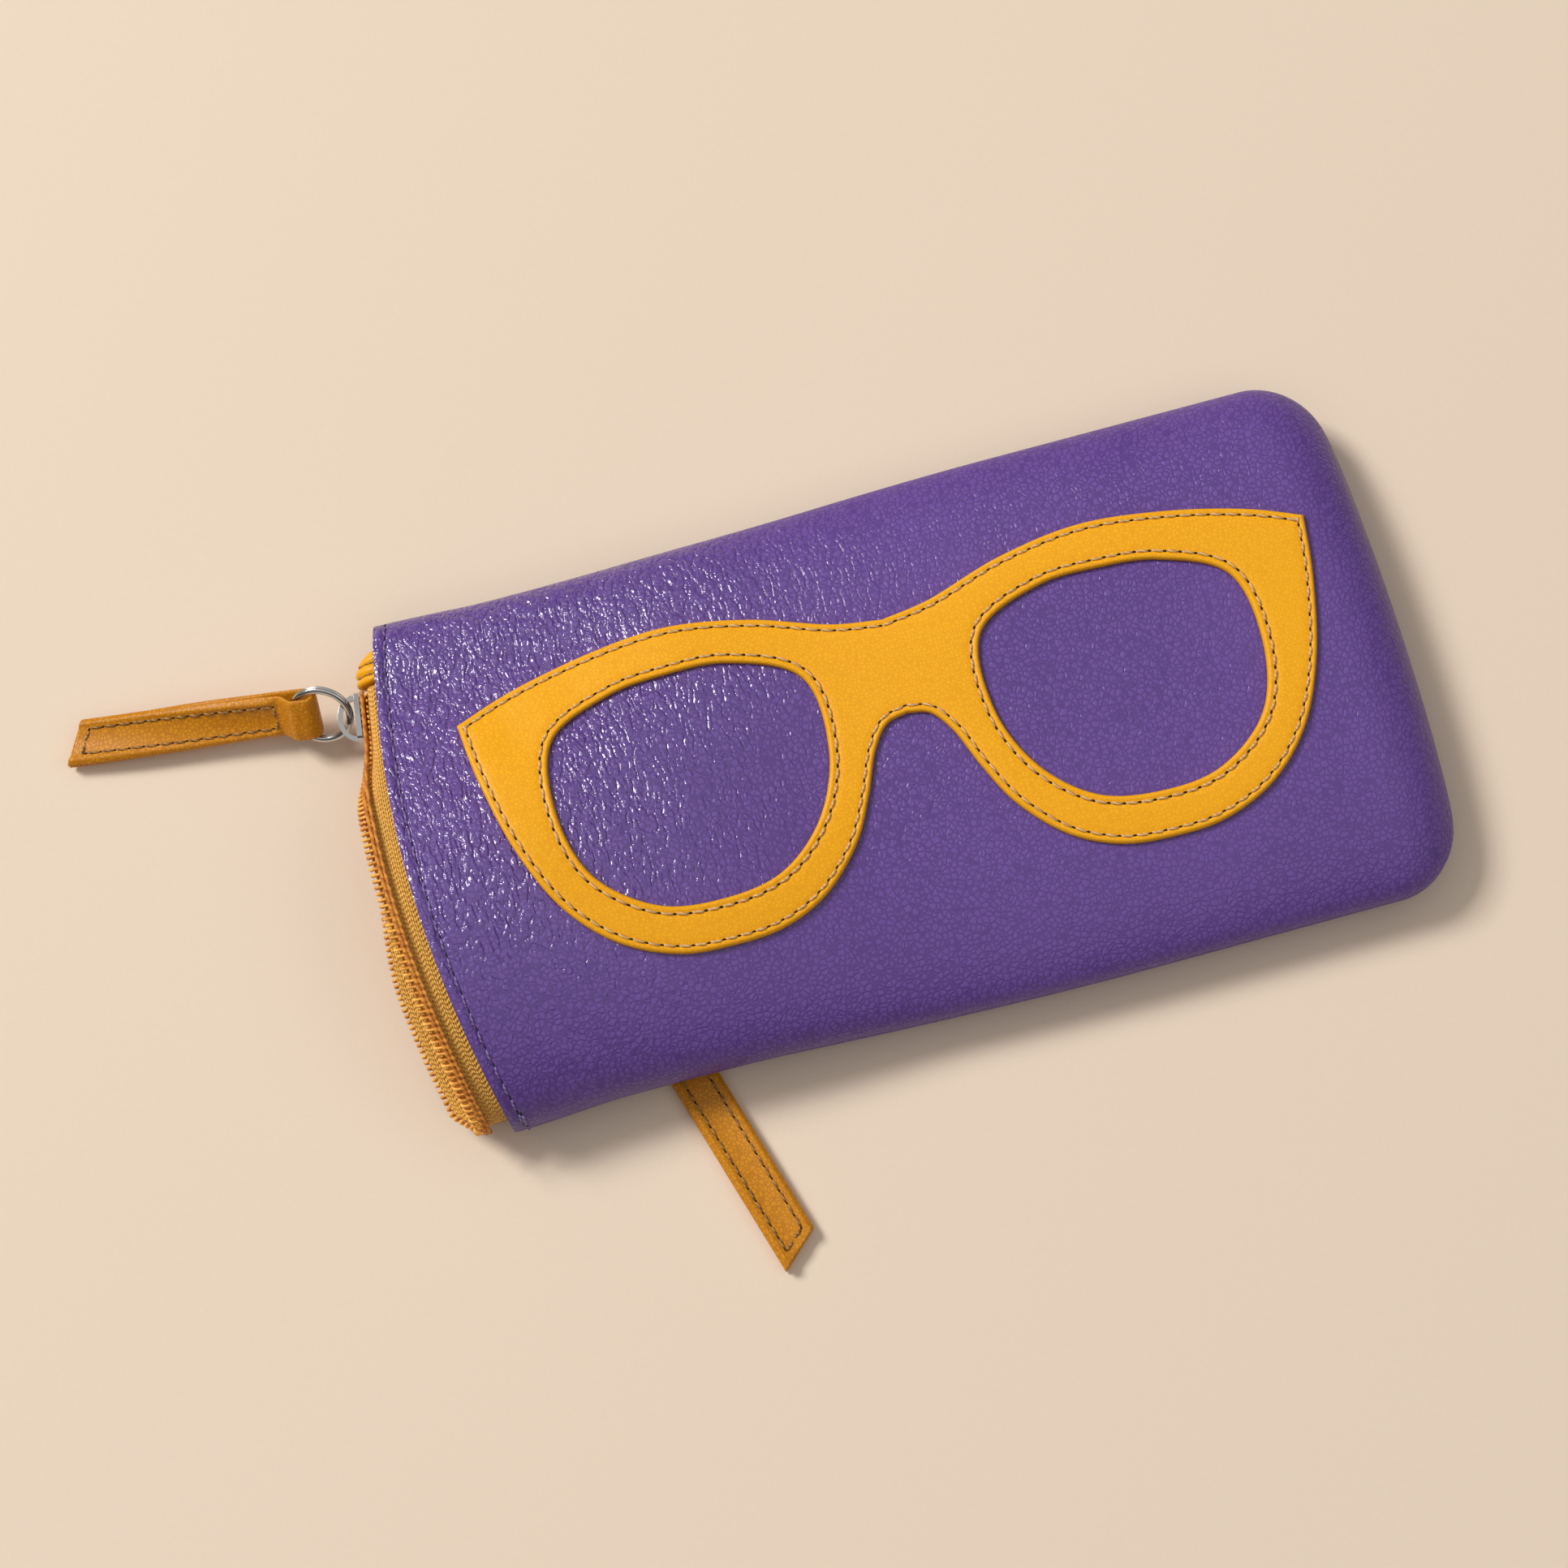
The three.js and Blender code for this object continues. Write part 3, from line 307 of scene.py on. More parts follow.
def wires(path: np.ndarray, up: np.ndarray, radius: np.ndarray | float, sides: int = 6) -> Surface:
    """Round wires along paths: a circle of the given radius at each path point."""
    angle = np.linspace(0, 2 * np.pi, sides, endpoint=False)
    size = np.broadcast_to(np.asarray(radius, float), path.shape[:2])[..., None]
    return swept(path, up, size * np.cos(angle), size * np.sin(angle))


@dataclass(frozen=True)
class Dress:
    """What a piece is called, what it rides on, and what it is finished in."""

    name: str
    body: str
    slot: str
    materials: tuple[bpy.types.Material, ...]
    replaces: tuple[str, ...] = ()
    bevel: float = 0.0


def make_piece(surface: Surface, dress: Dress) -> bpy.types.Object:
    """Makes a surface a piece of the object, in metres, with its faces pointing out.

    Args:
        surface: The points and faces.
        dress: Its name, body, slot, materials, the CAD nodes it stands for and its bevel in millimetres.

    Returns:
        The Blender object.
    """
    mesh = bpy.data.meshes.new(dress.name)
    mesh.vertices.add(len(surface.points))
    mesh.vertices.foreach_set("co", (surface.points * MM).astype(np.float32).ravel())
    totals = np.concatenate([np.full(len(f), f.shape[1]) for f in surface.faces])
    corners = np.concatenate([f.ravel() for f in surface.faces])
    mesh.loops.add(len(corners))
    mesh.loops.foreach_set("vertex_index", corners.astype(np.int32))
    mesh.polygons.add(len(totals))
    starts = np.concatenate([[0], np.cumsum(totals)[:-1]])
    mesh.polygons.foreach_set("loop_start", starts.astype(np.int32))
    numbers = surface.slots or [0] * len(surface.faces)
    slots = np.concatenate([np.full(len(f), slot) for f, slot in zip(surface.faces, numbers)])
    mesh.polygons.foreach_set("material_index", slots.astype(np.int32))
    mesh.polygons.foreach_set("use_smooth", np.ones(len(totals), bool))
    if surface.uv is not None:
        layer = mesh.uv_layers.new(name="pattern")
        layer.data.foreach_set("uv", surface.uv[corners].astype(np.float32).ravel())
    mesh.update(calc_edges=True)
    mesh.validate()
    return finish_piece(mesh, dress)


def finish_piece(mesh: bpy.types.Mesh, dress: Dress) -> bpy.types.Object:
    """Turns a mesh's faces outwards, gives it its materials and seats it on its body.

    Args:
        mesh: The piece's mesh, in metres.
        dress: Its name, body, slot, materials, the CAD nodes it stands for and its bevel in millimetres.

    Returns:
        The Blender object.
    """
    work = bmesh.new()
    work.from_mesh(mesh)
    bmesh.ops.recalc_face_normals(work, faces=work.faces)
    work.to_mesh(mesh)
    work.free()
    piece = bpy.data.objects.new(dress.name, mesh)
    bpy.context.scene.collection.objects.link(piece)
    for material in dress.materials:
        mesh.materials.append(material)
    if dress.bevel > 0:
        modifier = piece.modifiers.new("rounded edges", "BEVEL")
        modifier.width = dress.bevel * MM
        modifier.segments = 3
        modifier.limit_method = "ANGLE"
        modifier.angle_limit = math.radians(50)
        modifier.harden_normals = False
    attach(piece, dress.body)
    if dress.replaces:
        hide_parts(*dress.replaces)
    log.info("%s: %d faces on %s", dress.name, len(mesh.polygons), dress.body)
    return piece


# ---- Finishes ------------------------------------------------------------------------------------


class Shader:
    """A node material, with short ways to add its nodes."""

    def __init__(self, name: str, roughness: float, metallic: float = 0.0) -> None:
        """Starts a material with one plain shader.

        Args:
            name: The material's name.
            roughness: The shader's own roughness.
            metallic: Its metalness.
        """
        self.material = bpy.data.materials.new(name)
        self.material.use_nodes = True
        self.tree = self.material.node_tree
        self.surface = self.tree.nodes["Principled BSDF"]
        self.set("Roughness", roughness)
        self.set("Metallic", metallic)

    def set(self, name: str, value: object) -> None:
        """Sets one of the shader's inputs, as a number, a colour or a socket."""
        if isinstance(value, bpy.types.NodeSocket):
            self.tree.links.new(value, self.surface.inputs[name])
        else:
            self.surface.inputs[name].default_value = (*value, 1.0) if isinstance(value, tuple) else value

    def noise(self, place: bpy.types.NodeSocket, scale: float, detail: float) -> bpy.types.NodeSocket:
        """Soft random values, from a place, the number of lumps in a metre and how many finer layers."""
        return self.add("ShaderNodeTexNoise", None, Vector=place, Scale=scale, Detail=detail).outputs[0]

    def add(self, kind: str, settings: dict | None = None, **inputs: object) -> bpy.types.Node:
        """Adds a node.

        Args:
            kind: The node's type.
            settings: Its properties.
            **inputs: Values or output sockets for its inputs, with _ for a space, or i0, i1 for a number.

        Returns:
            The node.
        """
        node = self.tree.nodes.new(kind)
        for key, value in (settings or {}).items():
            setattr(node, key, value)
        for key, value in inputs.items():
            numbered = key[0] == "i" and key[1:].isdigit()
            socket = node.inputs[int(key[1:]) if numbered else key.replace("_", " ")]
            if isinstance(value, bpy.types.NodeSocket):
                self.tree.links.new(value, socket)
            else:
                socket.default_value = value
        return node

    def sums(self, operation: str, *values: object) -> bpy.types.NodeSocket:
        """One step of arithmetic on numbers or sockets."""
        inputs = {f"i{k}": v for k, v in enumerate(values)}
        return self.add("ShaderNodeMath", {"operation": operation}, **inputs).outputs[0]

    def spread(
        self, value: bpy.types.NodeSocket, low: float, high: float, to_low: float = 0.0, to_high: float = 1.0
    ) -> bpy.types.NodeSocket:
        """A value carried smoothly from one range to another, and held inside it."""
        settings = {"interpolation_type": "SMOOTHSTEP"}
        node = self.add("ShaderNodeMapRange", settings, i0=value, i1=low, i2=high, i3=to_low, i4=to_high)
        return node.outputs[0]

    def mix(self, share: bpy.types.NodeSocket, first: tuple, second: tuple) -> bpy.types.NodeSocket:
        """A colour between two, by a share. Either may be a socket."""
        node = self.tree.nodes.new("ShaderNodeMix")
        node.data_type = "RGBA"
        self.tree.links.new(share, node.inputs[0])
        for socket, value in ((node.inputs[6], first), (node.inputs[7], second)):
            if isinstance(value, bpy.types.NodeSocket):
                self.tree.links.new(value, socket)
            else:
                socket.default_value = (*value, 1.0)
        return node.outputs[2]

    def place(self) -> bpy.types.NodeSocket:
        """The place on the object, in metres."""
        return self.add("ShaderNodeTexCoord").outputs["Object"]

    def relief(self, height: bpy.types.NodeSocket, depth: float, strength: float = 1.0) -> None:
        """Raises the surface by a pattern.

        Args:
            height: The pattern, from 0 to 1.
            depth: How far 1 stands over 0, in millimetres.
            strength: The share of it that shows.
        """
        bump = self.add("ShaderNodeBump", None, Strength=strength, Distance=depth * MM, Height=height)
        for socket in ("Normal", "Coat Normal"):
            self.set(socket, bump.outputs[0])


def bands_in(size: float) -> float:
    """The scale at which a wave pattern's bands are a size apart in millimetres."""
    return 1000 / size / 20 * math.pi


@dataclass(frozen=True)
class Leather:
    """Leather with a pebbled grain, fine wandering creases and a shine. Sizes are in millimetres."""

    name: str
    colour: tuple[float, float, float]
    deep: tuple[float, float, float]
    roughness: float = 0.42
    pebble: float = 1.1
    grain_depth: float = 0.235
    crease: float = 2.7
    crease_share: float = 1.1
    crease_centre: tuple[float, float, float] = (-0.075, 0.03, 0.02)
    crease_reach: tuple[float, float] = (0.015, 0.092)
    shine: float = 0.9

    def build(self) -> bpy.types.Material:
        """Makes the material.

        The relief is rounded pebbles, the cells of a Voronoi pattern, cut by longer creases. The creases are
        the middle level of a slow noise drawn out along Y. They fade away from where the leather bends most.
        """
        s = Shader(self.name, self.roughness)
        place = s.place()
        wander = s.add("ShaderNodeTexNoise", None, Vector=place, Scale=220.0, Detail=2.0).outputs["Color"]
        shift = {"operation": "MULTIPLY_ADD"}
        shifted = s.add("ShaderNodeVectorMath", shift, i0=wander, i1=(0.0009,) * 3, i2=place).outputs[0]
        cells = {"feature": "DISTANCE_TO_EDGE"}
        pebble = s.add("ShaderNodeTexVoronoi", cells, Vector=shifted, Scale=1000 / self.pebble)
        rounded = s.spread(pebble.outputs["Distance"], 0.0, 0.28)
        drawn = {"Rotation": (0, 0, 0.15), "Scale": (1.5, 0.65, 1)}
        drawn_out = s.add("ShaderNodeMapping", None, Vector=shifted, **drawn).outputs[0]
        fold = s.noise(drawn_out, 1000 / self.crease, 1.5)
        level = s.sums("ABSOLUTE", s.sums("SUBTRACT", fold, 0.5))
        cut = s.add("ShaderNodeMapRange", None, i0=level, i1=0.0, i2=0.1, i3=0.0, i4=1.0).outputs[0]
        far = s.add("ShaderNodeVectorMath", {"operation": "DISTANCE"}, i0=place, i1=self.crease_centre)
        patch = s.noise(place, 28.0, 3.0)
        bent = s.spread(far.outputs["Value"], *self.crease_reach, 1.0, 0.12)
        share = s.sums("MULTIPLY", bent, s.spread(patch, 0.3, 0.6, 0.35, 1.0))
        depth = s.sums("MULTIPLY", share, self.crease_share)
        creased = s.sums("MULTIPLY", s.sums("SUBTRACT", 1.0, cut), depth)
        fine, soft = s.noise(place, 2600.0, 2.0), s.noise(place, 420.0, 2.0)
        grain = s.sums("MULTIPLY_ADD", soft, 0.6, s.sums("MULTIPLY", rounded, 0.24))
        height = s.sums("SUBTRACT", grain, creased)
        s.relief(s.sums("MULTIPLY_ADD", fine, 0.03, height), self.grain_depth)
        tone = s.sums("MULTIPLY_ADD", patch, 0.5, s.sums("MULTIPLY", rounded, 0.5))
        s.set("Base Color", s.mix(s.spread(tone, 0.2, 0.75), self.deep, self.colour))
        s.set("Roughness", s.spread(patch, 0.3, 0.7, self.roughness - 0.05, self.roughness + 0.06))
        s.set("Specular IOR Level", 0.3)
        s.set("Coat Weight", s.sums("MULTIPLY", s.spread(bent, 0.12, 0.9, 0.25, 1.0), self.shine))
        s.set("Coat Roughness", 0.17)
        s.set("Coat IOR", 1.6)
        return s.material


@dataclass(frozen=True)
class Cloth:
    """A plain woven cloth, or foam where the weave is coarse and deep. Sizes are in millimetres."""

    name: str
    colour: tuple[float, float, float]
    deep: tuple[float, float, float]
    yarn: float = 0.5
    roughness: float = 0.9

    def build(self) -> bpy.types.Material:
        """Makes the material: crossed waves in the plan, softened by noise."""
        s = Shader(self.name, self.roughness)
        place = s.place()
        waves = {"wave_type": "BANDS", "wave_profile": "SIN"}
        sizes = {"Scale": bands_in(self.yarn), "Distortion": 1.0}
        warp = s.add("ShaderNodeTexWave", {**waves, "bands_direction": "X"}, Vector=place, **sizes)
        weft = s.add("ShaderNodeTexWave", {**waves, "bands_direction": "Y"}, Vector=place, **sizes)
        both = s.sums("MULTIPLY", warp.outputs["Fac"], weft.outputs["Fac"])
        tone = s.sums("MULTIPLY_ADD", s.noise(place, 60.0, 4.0), 0.6, s.sums("MULTIPLY", both, 0.5))
        s.set("Base Color", s.mix(tone, self.deep, self.colour))
        s.relief(both, self.yarn * 0.2)
        s.set("Sheen Weight", 0.3)
        return s.material


@dataclass(frozen=True)
class TapeWeave:
    """A zip tape's herringbone weave, which follows the tape's own pattern coordinates, in millimetres."""

    name: str
    light: tuple[float, float, float]
    dark: tuple[float, float, float]
    rib: float = 0.95
    stripe: float = 0.8

    def build(self) -> bpy.types.Material:
        """Makes the material: slanted ribs that turn back at each stripe, cut across by single yarns."""
        s = Shader(self.name, 0.72)
        uv = s.add("ShaderNodeUVMap", {"uv_map": "pattern"}).outputs[0]
        parts = s.add("ShaderNodeSeparateXYZ", None, Vector=uv)
        along, across = parts.outputs[0], parts.outputs[1]
        turn = s.sums("PINGPONG", across, self.stripe)
        slant = s.sums("MULTIPLY_ADD", turn, 0.75, along)
        ribs = s.sums("SINE", s.sums("MULTIPLY", slant, 2 * math.pi / self.rib))
        yarns = s.sums("SINE", s.sums("MULTIPLY", across, 2 * math.pi / (self.stripe / 2)))
        raised = s.sums("MULTIPLY_ADD", ribs, 0.36, s.sums("MULTIPLY_ADD", yarns, 0.24, 0.55))
        fuzz = s.noise(uv, 2.2, 4.0)
        tone = s.sums("MULTIPLY_ADD", s.sums("SUBTRACT", fuzz, 0.5), 0.9, raised)
        s.set("Base Color", s.mix(s.spread(tone, 0.1, 0.85), self.dark, self.light))
        s.relief(tone, 0.3)
        s.set("Sheen Weight", 0.1)
        return s.material


@dataclass(frozen=True)
class Strand:
    """Twisted thread or zip monofilament."""

    name: str
    colour: tuple[float, float, float]
    deep: tuple[float, float, float]
    roughness: float = 0.6
    ply: float = 0.3

    def build(self) -> bpy.types.Material:
        """Makes the material: slanted plies, as bands across all three axes, and a slow change of tone."""
        s = Shader(self.name, self.roughness)
        place = s.place()
        settings = {"wave_type": "BANDS", "bands_direction": "DIAGONAL"}
        bands = s.add("ShaderNodeTexWave", settings, Vector=place, Scale=bands_in(self.ply)).outputs["Fac"]
        tone = s.sums("MULTIPLY_ADD", s.noise(place, 300.0, 2.0), 0.5, s.sums("MULTIPLY", bands, 0.5))
        s.set("Base Color", s.mix(s.spread(tone, 0.2, 0.8), self.deep, self.colour))
        s.relief(bands, 0.05)
        return s.material


@dataclass(frozen=True)
class Nickel:
    """Bright nickel plate with faint polishing marks."""

    name: str = "bright_nickel"
    colour: tuple[float, float, float] = (0.64, 0.63, 0.62)
    roughness: float = 0.11

    def build(self) -> bpy.types.Material:
        """Makes the material: a metal whose gloss and colour change a little from place to place."""
        s = Shader(self.name, self.roughness, 1.0)
        place = s.place()
        marks, dull = s.noise(place, 900.0, 3.0), s.noise(place, 160.0, 2.0)
        s.set("Roughness", s.spread(dull, 0.35, 0.7, self.roughness - 0.04, self.roughness + 0.12))
        s.set("Base Color", s.mix(dull, tuple(0.86 * c for c in self.colour), self.colour))
        s.relief(marks, 0.006)
        return s.material


@dataclass
class Finishes:
    """Every material of the case, made once."""

    purple: bpy.types.Material
    yellow: bpy.types.Material
    ochre: bpy.types.Material
    tape: bpy.types.Material
    coil: bpy.types.Material
    cord: bpy.types.Material
    tan_thread: bpy.types.Material
    purple_thread: bpy.types.Material
    ochre_thread: bpy.types.Material
    painted_hole_shade: bpy.types.Material
    nickel: bpy.types.Material
    lining: bpy.types.Material
    foam: bpy.types.Material

    @staticmethod
    def made() -> "Finishes":
        """Builds them all."""
        return Finishes(
            purple=Leather("purple_leather", (0.142, 0.068, 0.32), (0.098, 0.044, 0.235)).build(),
            yellow=Leather(
                "yellow_leather", (0.95, 0.44, 0.002), (0.86, 0.37, 0.001), 0.5, 0.75, 0.06, 3.0, 0.35,
                shine=0.08,
            ).build(),
            ochre=Leather(
                "ochre_leather", (0.66, 0.26, 0.004), (0.50, 0.18, 0.003), 0.45, 0.8, 0.08, 2.4, 0.6,
                (-0.105, 0.036, 0.006), (0.002, 0.03), 0.15,
            ).build(),
            tape=TapeWeave("zip_tape_weave", (1.0, 0.57, 0.1), (0.74, 0.29, 0.035)).build(),
            coil=Strand("zip_coil_filament", (0.96, 0.50, 0.09), (0.72, 0.29, 0.04), 0.4, 1.2).build(),
            cord=Strand("zip_cord", (0.72, 0.29, 0.035), (0.45, 0.14, 0.014), 0.6, 0.5).build(),
            tan_thread=Strand("tan_thread", (0.78, 0.50, 0.2), (0.55, 0.3, 0.09)).build(),
            purple_thread=Strand("purple_thread", (0.27, 0.19, 0.42), (0.11, 0.07, 0.2)).build(),
            ochre_thread=Strand("ochre_thread", (0.46, 0.24, 0.07), (0.2, 0.09, 0.02)).build(),
            # Near-black lenses at the needle holes: painted shade inside each hole, not a colour of the
            # leather.
            painted_hole_shade=Strand("painted_hole_shade", (0.02, 0.011, 0.012), (0.008, 0.005, 0.006), 0.9).build(),
            nickel=Nickel().build(),
            lining=Cloth("lining_cloth", (0.045, 0.03, 0.075), (0.02, 0.013, 0.036)).build(),
            foam=Cloth("padding_foam", (0.72, 0.68, 0.6), (0.55, 0.5, 0.42), 1.4).build(),
        )


# ---- The case's shape ----------------------------------------------------------------------------


@dataclass(frozen=True)
class CaseShape:
    """The two faces of the case as smooth functions of place.

    A point is given by s, its distance from the mouth, and r, its share of the half width from -1 at one side
    seam to 1 at the other. The front rises from the seam in a crown that is higher, and off centre, at the
    propped-open mouth. The back is flat with rounded edges, and held up over the pocket's slider.
    """

    length: float = 190.5
    width: float = 101.6
    corner: float = 13.5
    end_round: float = 13
    body_rise: float = 10
    body_seam: float = 8
    mouth_arch: float = 11.1
    arch_end: float = 0.72
    arch_fade: float = 90
    waist: float = 2.3
    flare: float = 0.9
    bow_radius: float = 210
    bow_y: float = 3
    end_bow: float = 0.0009
    end_bow_y: float = -12
    back_edge: float = 9
    plateau_lift: float = 4.8
    mouth_lift: float = 3.2
    plateau_from: float = 22
    plateau_to: float = 49
    flat_from: float = 77
    plateau_seam: float = 1.8
    mouth_depth: float = 6.455
    seam_roll: float = 0.75

    def back_height(self, s: np.ndarray) -> np.ndarray:
        """Height of the back face over the surface."""
        plateau = self.plateau_lift * (1 - smoothstep(s, self.plateau_to, self.flat_from))
        return plateau - (self.plateau_lift - self.mouth_lift) * (1 - smoothstep(s, 0, self.plateau_from))

    def seam_height(self, s: np.ndarray) -> np.ndarray:
        """Height of the side seam over the surface."""
        flat = smoothstep(s, self.plateau_to, self.flat_from + 8)
        plateau = self.body_seam + self.plateau_seam * (1 - flat)
        mouth = self.mouth_lift + self.mouth_depth
        return plateau + (mouth - self.body_seam - self.plateau_seam) * (1 - smoothstep(s, 0, 25))

    def half_width(self, s: np.ndarray, inward: float | np.ndarray) -> np.ndarray:
        """Half the width of a skin that lies inward of the outer one."""
        waist = self.waist * (1 - smoothstep(s, 30, 125))
        flare = self.flare * (1 - smoothstep(s, 0, 25))
        into = np.maximum(s - (self.length - self.corner), 0)
        radius = self.corner - inward
        pull = np.where(into > 0, radius - np.sqrt(np.maximum(radius**2 - into**2, 0)), 0)
        return self.width / 2 - waist + flare - inward - pull

    def end_closing(self, s: np.ndarray, inward: float | np.ndarray) -> np.ndarray:
        """How far the faces close at the padded end: a quarter circle from 1 to 0."""
        into = np.maximum(s - (self.length - self.end_round), 0) / (self.end_round - inward)
        return np.sqrt(np.maximum(1 - into**2, 0))

    def mouth_x(self, y: np.ndarray) -> np.ndarray:
        """The mouth's edge: an arc of a large circle."""
        off = y - self.bow_y
        return -self.length / 2 + self.bow_radius - np.sqrt(self.bow_radius**2 - off**2)

    def end_x(self, y: np.ndarray) -> np.ndarray:
        """The closed end's edge: a shallow parabola."""
        return self.length / 2 - self.end_bow * (y - self.end_bow_y) ** 2

    def case_x(self, s: np.ndarray, y: np.ndarray) -> np.ndarray:
        """Place along the case."""
        run = self.end_x(y) - self.mouth_x(y)
        return self.mouth_x(y) + np.where(s < 0, s, s / self.length * run)

    def from_mouth(self, x: np.ndarray, y: np.ndarray) -> np.ndarray:
        """Distance from the mouth of a point of the plan."""
        return (x - self.mouth_x(y)) * self.length / (self.end_x(y) - self.mouth_x(y))

    def front_rise(self, s: np.ndarray, r: np.ndarray) -> np.ndarray:
        """Rise of the front over the seam: a rounded box section, with the mouth's arch blended in."""
        body = self.body_rise * np.sqrt(np.maximum(1 - np.abs(r) ** 3.2, 0))
        q = np.clip((r + 1) / (1 + self.arch_end), 0, 1)
        bump = np.maximum(np.sin(np.pi * q), 0) ** np.where(q < 0.5, 0.75, 1.3)
        mouth = self.mouth_depth * np.sqrt(np.maximum(1 - r**8, 0)) + self.mouth_arch * bump
        share = smoothstep(s, 0, self.arch_fade)
        return mouth + (body - mouth) * share

    def back_drop(self, s: np.ndarray, r: np.ndarray) -> np.ndarray:
        """Drop of the back below the seam: flat, with quarter-ellipse edges."""
        width = self.half_width(s, 0)
        into = np.maximum(np.abs(r) * width - (width - self.back_edge), 0) / self.back_edge
        edge = np.sqrt(np.maximum(1 - into**2, 0))
        return (self.seam_height(s) - self.back_height(s) - GAP / 2) * edge

    def drape(self, x: np.ndarray, y: np.ndarray) -> np.ndarray:
        """Soft hollows and creases of the front leather: sums of slow waves, strongest near the mouth."""
        slow = np.sin(x / 17 + 0.6) * np.sin(y / 13 + 1.1) * 0.22 + np.sin(x / 29 - y / 23) * 0.2
        near = 1 - smoothstep(x, -88, -20)
        bend = np.sin((x + 0.75 * y) / 2.3 + 1.4 * np.sin(y / 7)) * np.sin((y - 0.3 * x) / 9.0)
        corner = np.exp(-(((x + 70) / 16) ** 2) - (((y + 38) / 9) ** 2))
        fan = np.sin(1.9 * (x + 0.35 * y)) * corner
        return slow + 0.13 * bend * near + 0.12 * fan

    def skin(self, side: Side, s: np.ndarray, r: np.ndarray, inward: float | np.ndarray) -> np.ndarray:
        """Points of a skin.

        Args:
            side: The front or the back.
            s: Distance from the mouth; below 0 it runs straight out of it.
            r: Share of the half width.
            inward: How far the skin lies inside the outer one.

        Returns:
            The points.
        """
        section = np.maximum(s, 0)
        y = r * self.half_width(section, inward)
        x = self.case_x(s, y)
        outer = self.front_rise(section, r) if side is Side.FRONT else self.back_drop(section, r)
        share = np.sqrt(1 - np.clip(np.abs(r), 0, 1) ** 12)
        height = np.maximum(outer - inward * share, 0) * self.end_closing(section, inward)
        roll = self.seam_roll * np.clip(1 - height / 1.6, 0, 1) ** 2
        lip = 0.22 * bell(section, 0.9, 0.7) - 0.3 * bell(section, 2.3, 0.45)
        band = lip * np.clip(height / 3, 0, 1) * (inward < 0.01)
        settled = np.clip(height / 5, 0, 1) * (1 if side is Side.FRONT else 0) * smoothstep(section, 2, 14)
        z = self.seam_height(section) + side.value * (GAP / 2 + height + band) + self.drape(x, y) * settled
        return np.stack([x - roll * smoothstep(section, 184, 189), y - np.sign(r) * roll, z], axis=-1)

    def front_height(self, x: np.ndarray, y: np.ndarray) -> np.ndarray:
        """Height of the front's outer face over points of the plan."""
        s = np.clip(self.from_mouth(x, y), 0, self.length)
        r = np.clip(y / self.half_width(s, 0), -1, 1)
        return self.skin(Side.FRONT, s, r, 0)[..., 2]


# ---- Stitches ------------------------------------------------------------------------------------


@dataclass(frozen=True)
class StitchLine:
    """A row of stitches along a path that lies on a surface."""

    pitch: float
    radius: float = STITCH_RADIUS
    fill: float = 0.8
    slant: float = 0.1
    steps: int = 7
    sides: int = 6
    hole: float = 1.2

    def surface(self, path: np.ndarray, up: np.ndarray, closed: bool = False) -> Surface:
        """Threads, with a dark needle hole between one stitch and the next.

        Each stitch rises from its hole, lies on the surface and goes down again: its height is a flat-topped
        arch along its length. A hole is a flat dark lens, painted shade where the thread goes into the
        leather.

        Args:
            path: Points of the line.
            up: The surface's outward direction at each of them.
            closed: Whether the line joins its own start.

        Returns:
            The stitches in slot 0 and their holes in slot 1.
        """
        run = running(path)
        count = max(int(round(run[-1] / self.pitch)), 1)
        pitch = run[-1] / count
        t = np.linspace(-1, 1, self.steps)
        centres = (np.arange(count) + 0.5) * pitch
        places = centres[:, None] + t * pitch * self.fill / 2
        points, upward = along(places, run, path), unit(along(places, run, up))
        sideways = unit(np.cross(unit(np.gradient(points, axis=1)), upward))
        arch = 1 - np.abs(t) ** 3
        lift = (arch * 1.15 - 0.55) * self.radius
        points = points + upward * lift[:, None] + sideways * (self.slant * t)[:, None]
        thickness = self.radius * (0.75 + 0.25 * arch)[None, :] * np.ones((count, 1))
        thread = wires(points, upward, thickness, self.sides)
        places = np.arange(count + (0 if closed else 1)) * pitch
        return Surface.joined([thread, self.holes(places, run, path, up)])

    def holes(self, places: np.ndarray, run: np.ndarray, path: np.ndarray, up: np.ndarray) -> Surface:
        """Needle holes: flat eight-sided lenses, a little longer along the line than across it.

        Args:
            places: The holes' distances along the line.
            run: The distances of the line's own points.
            path: The line's points.
            up: The surface's outward direction at each of them.

        Returns:
            The holes.
        """
        # Each hole is a near-black lens: painted shade inside the needle hole.
        middle, upward = along(places, run, path), unit(along(places, run, up))
        ahead = unit(along(places + 0.3, run, path) - along(places - 0.3, run, path))
        sideways = unit(np.cross(ahead, upward))
        angle = np.linspace(0, 2 * np.pi, 8, endpoint=False)
        long, wide = self.radius * self.hole * np.cos(angle), self.radius * 0.85 * np.sin(angle)
        rim = middle[:, None] + ahead[:, None] * long[:, None] + sideways[:, None] * wide[:, None]
        top = middle + upward * 0.1
        foot = middle - upward * 0.15
        points = np.concatenate([rim, top[:, None], foot[:, None]], axis=1)
        first = np.arange(len(middle))[:, None] * 10
        ring = np.arange(8)
        upper = np.stack([ring, (ring + 1) % 8, np.full(8, 8)], axis=1)
        lower = np.stack([(ring + 1) % 8, ring, np.full(8, 9)], axis=1)
        faces = np.concatenate([upper, lower])[None] + first[..., None]
        return Surface(points.reshape(-1, 3), [faces.reshape(-1, 3)], [1])


# ---- The case's layers ---------------------------------------------------------------------------


@dataclass(frozen=True)
class Window:
    """The opening for the pocket zip in the back panel."""

    middle_x: float = -60.2
    width: float = 12
    half: float = 39
    stitch: float = 2


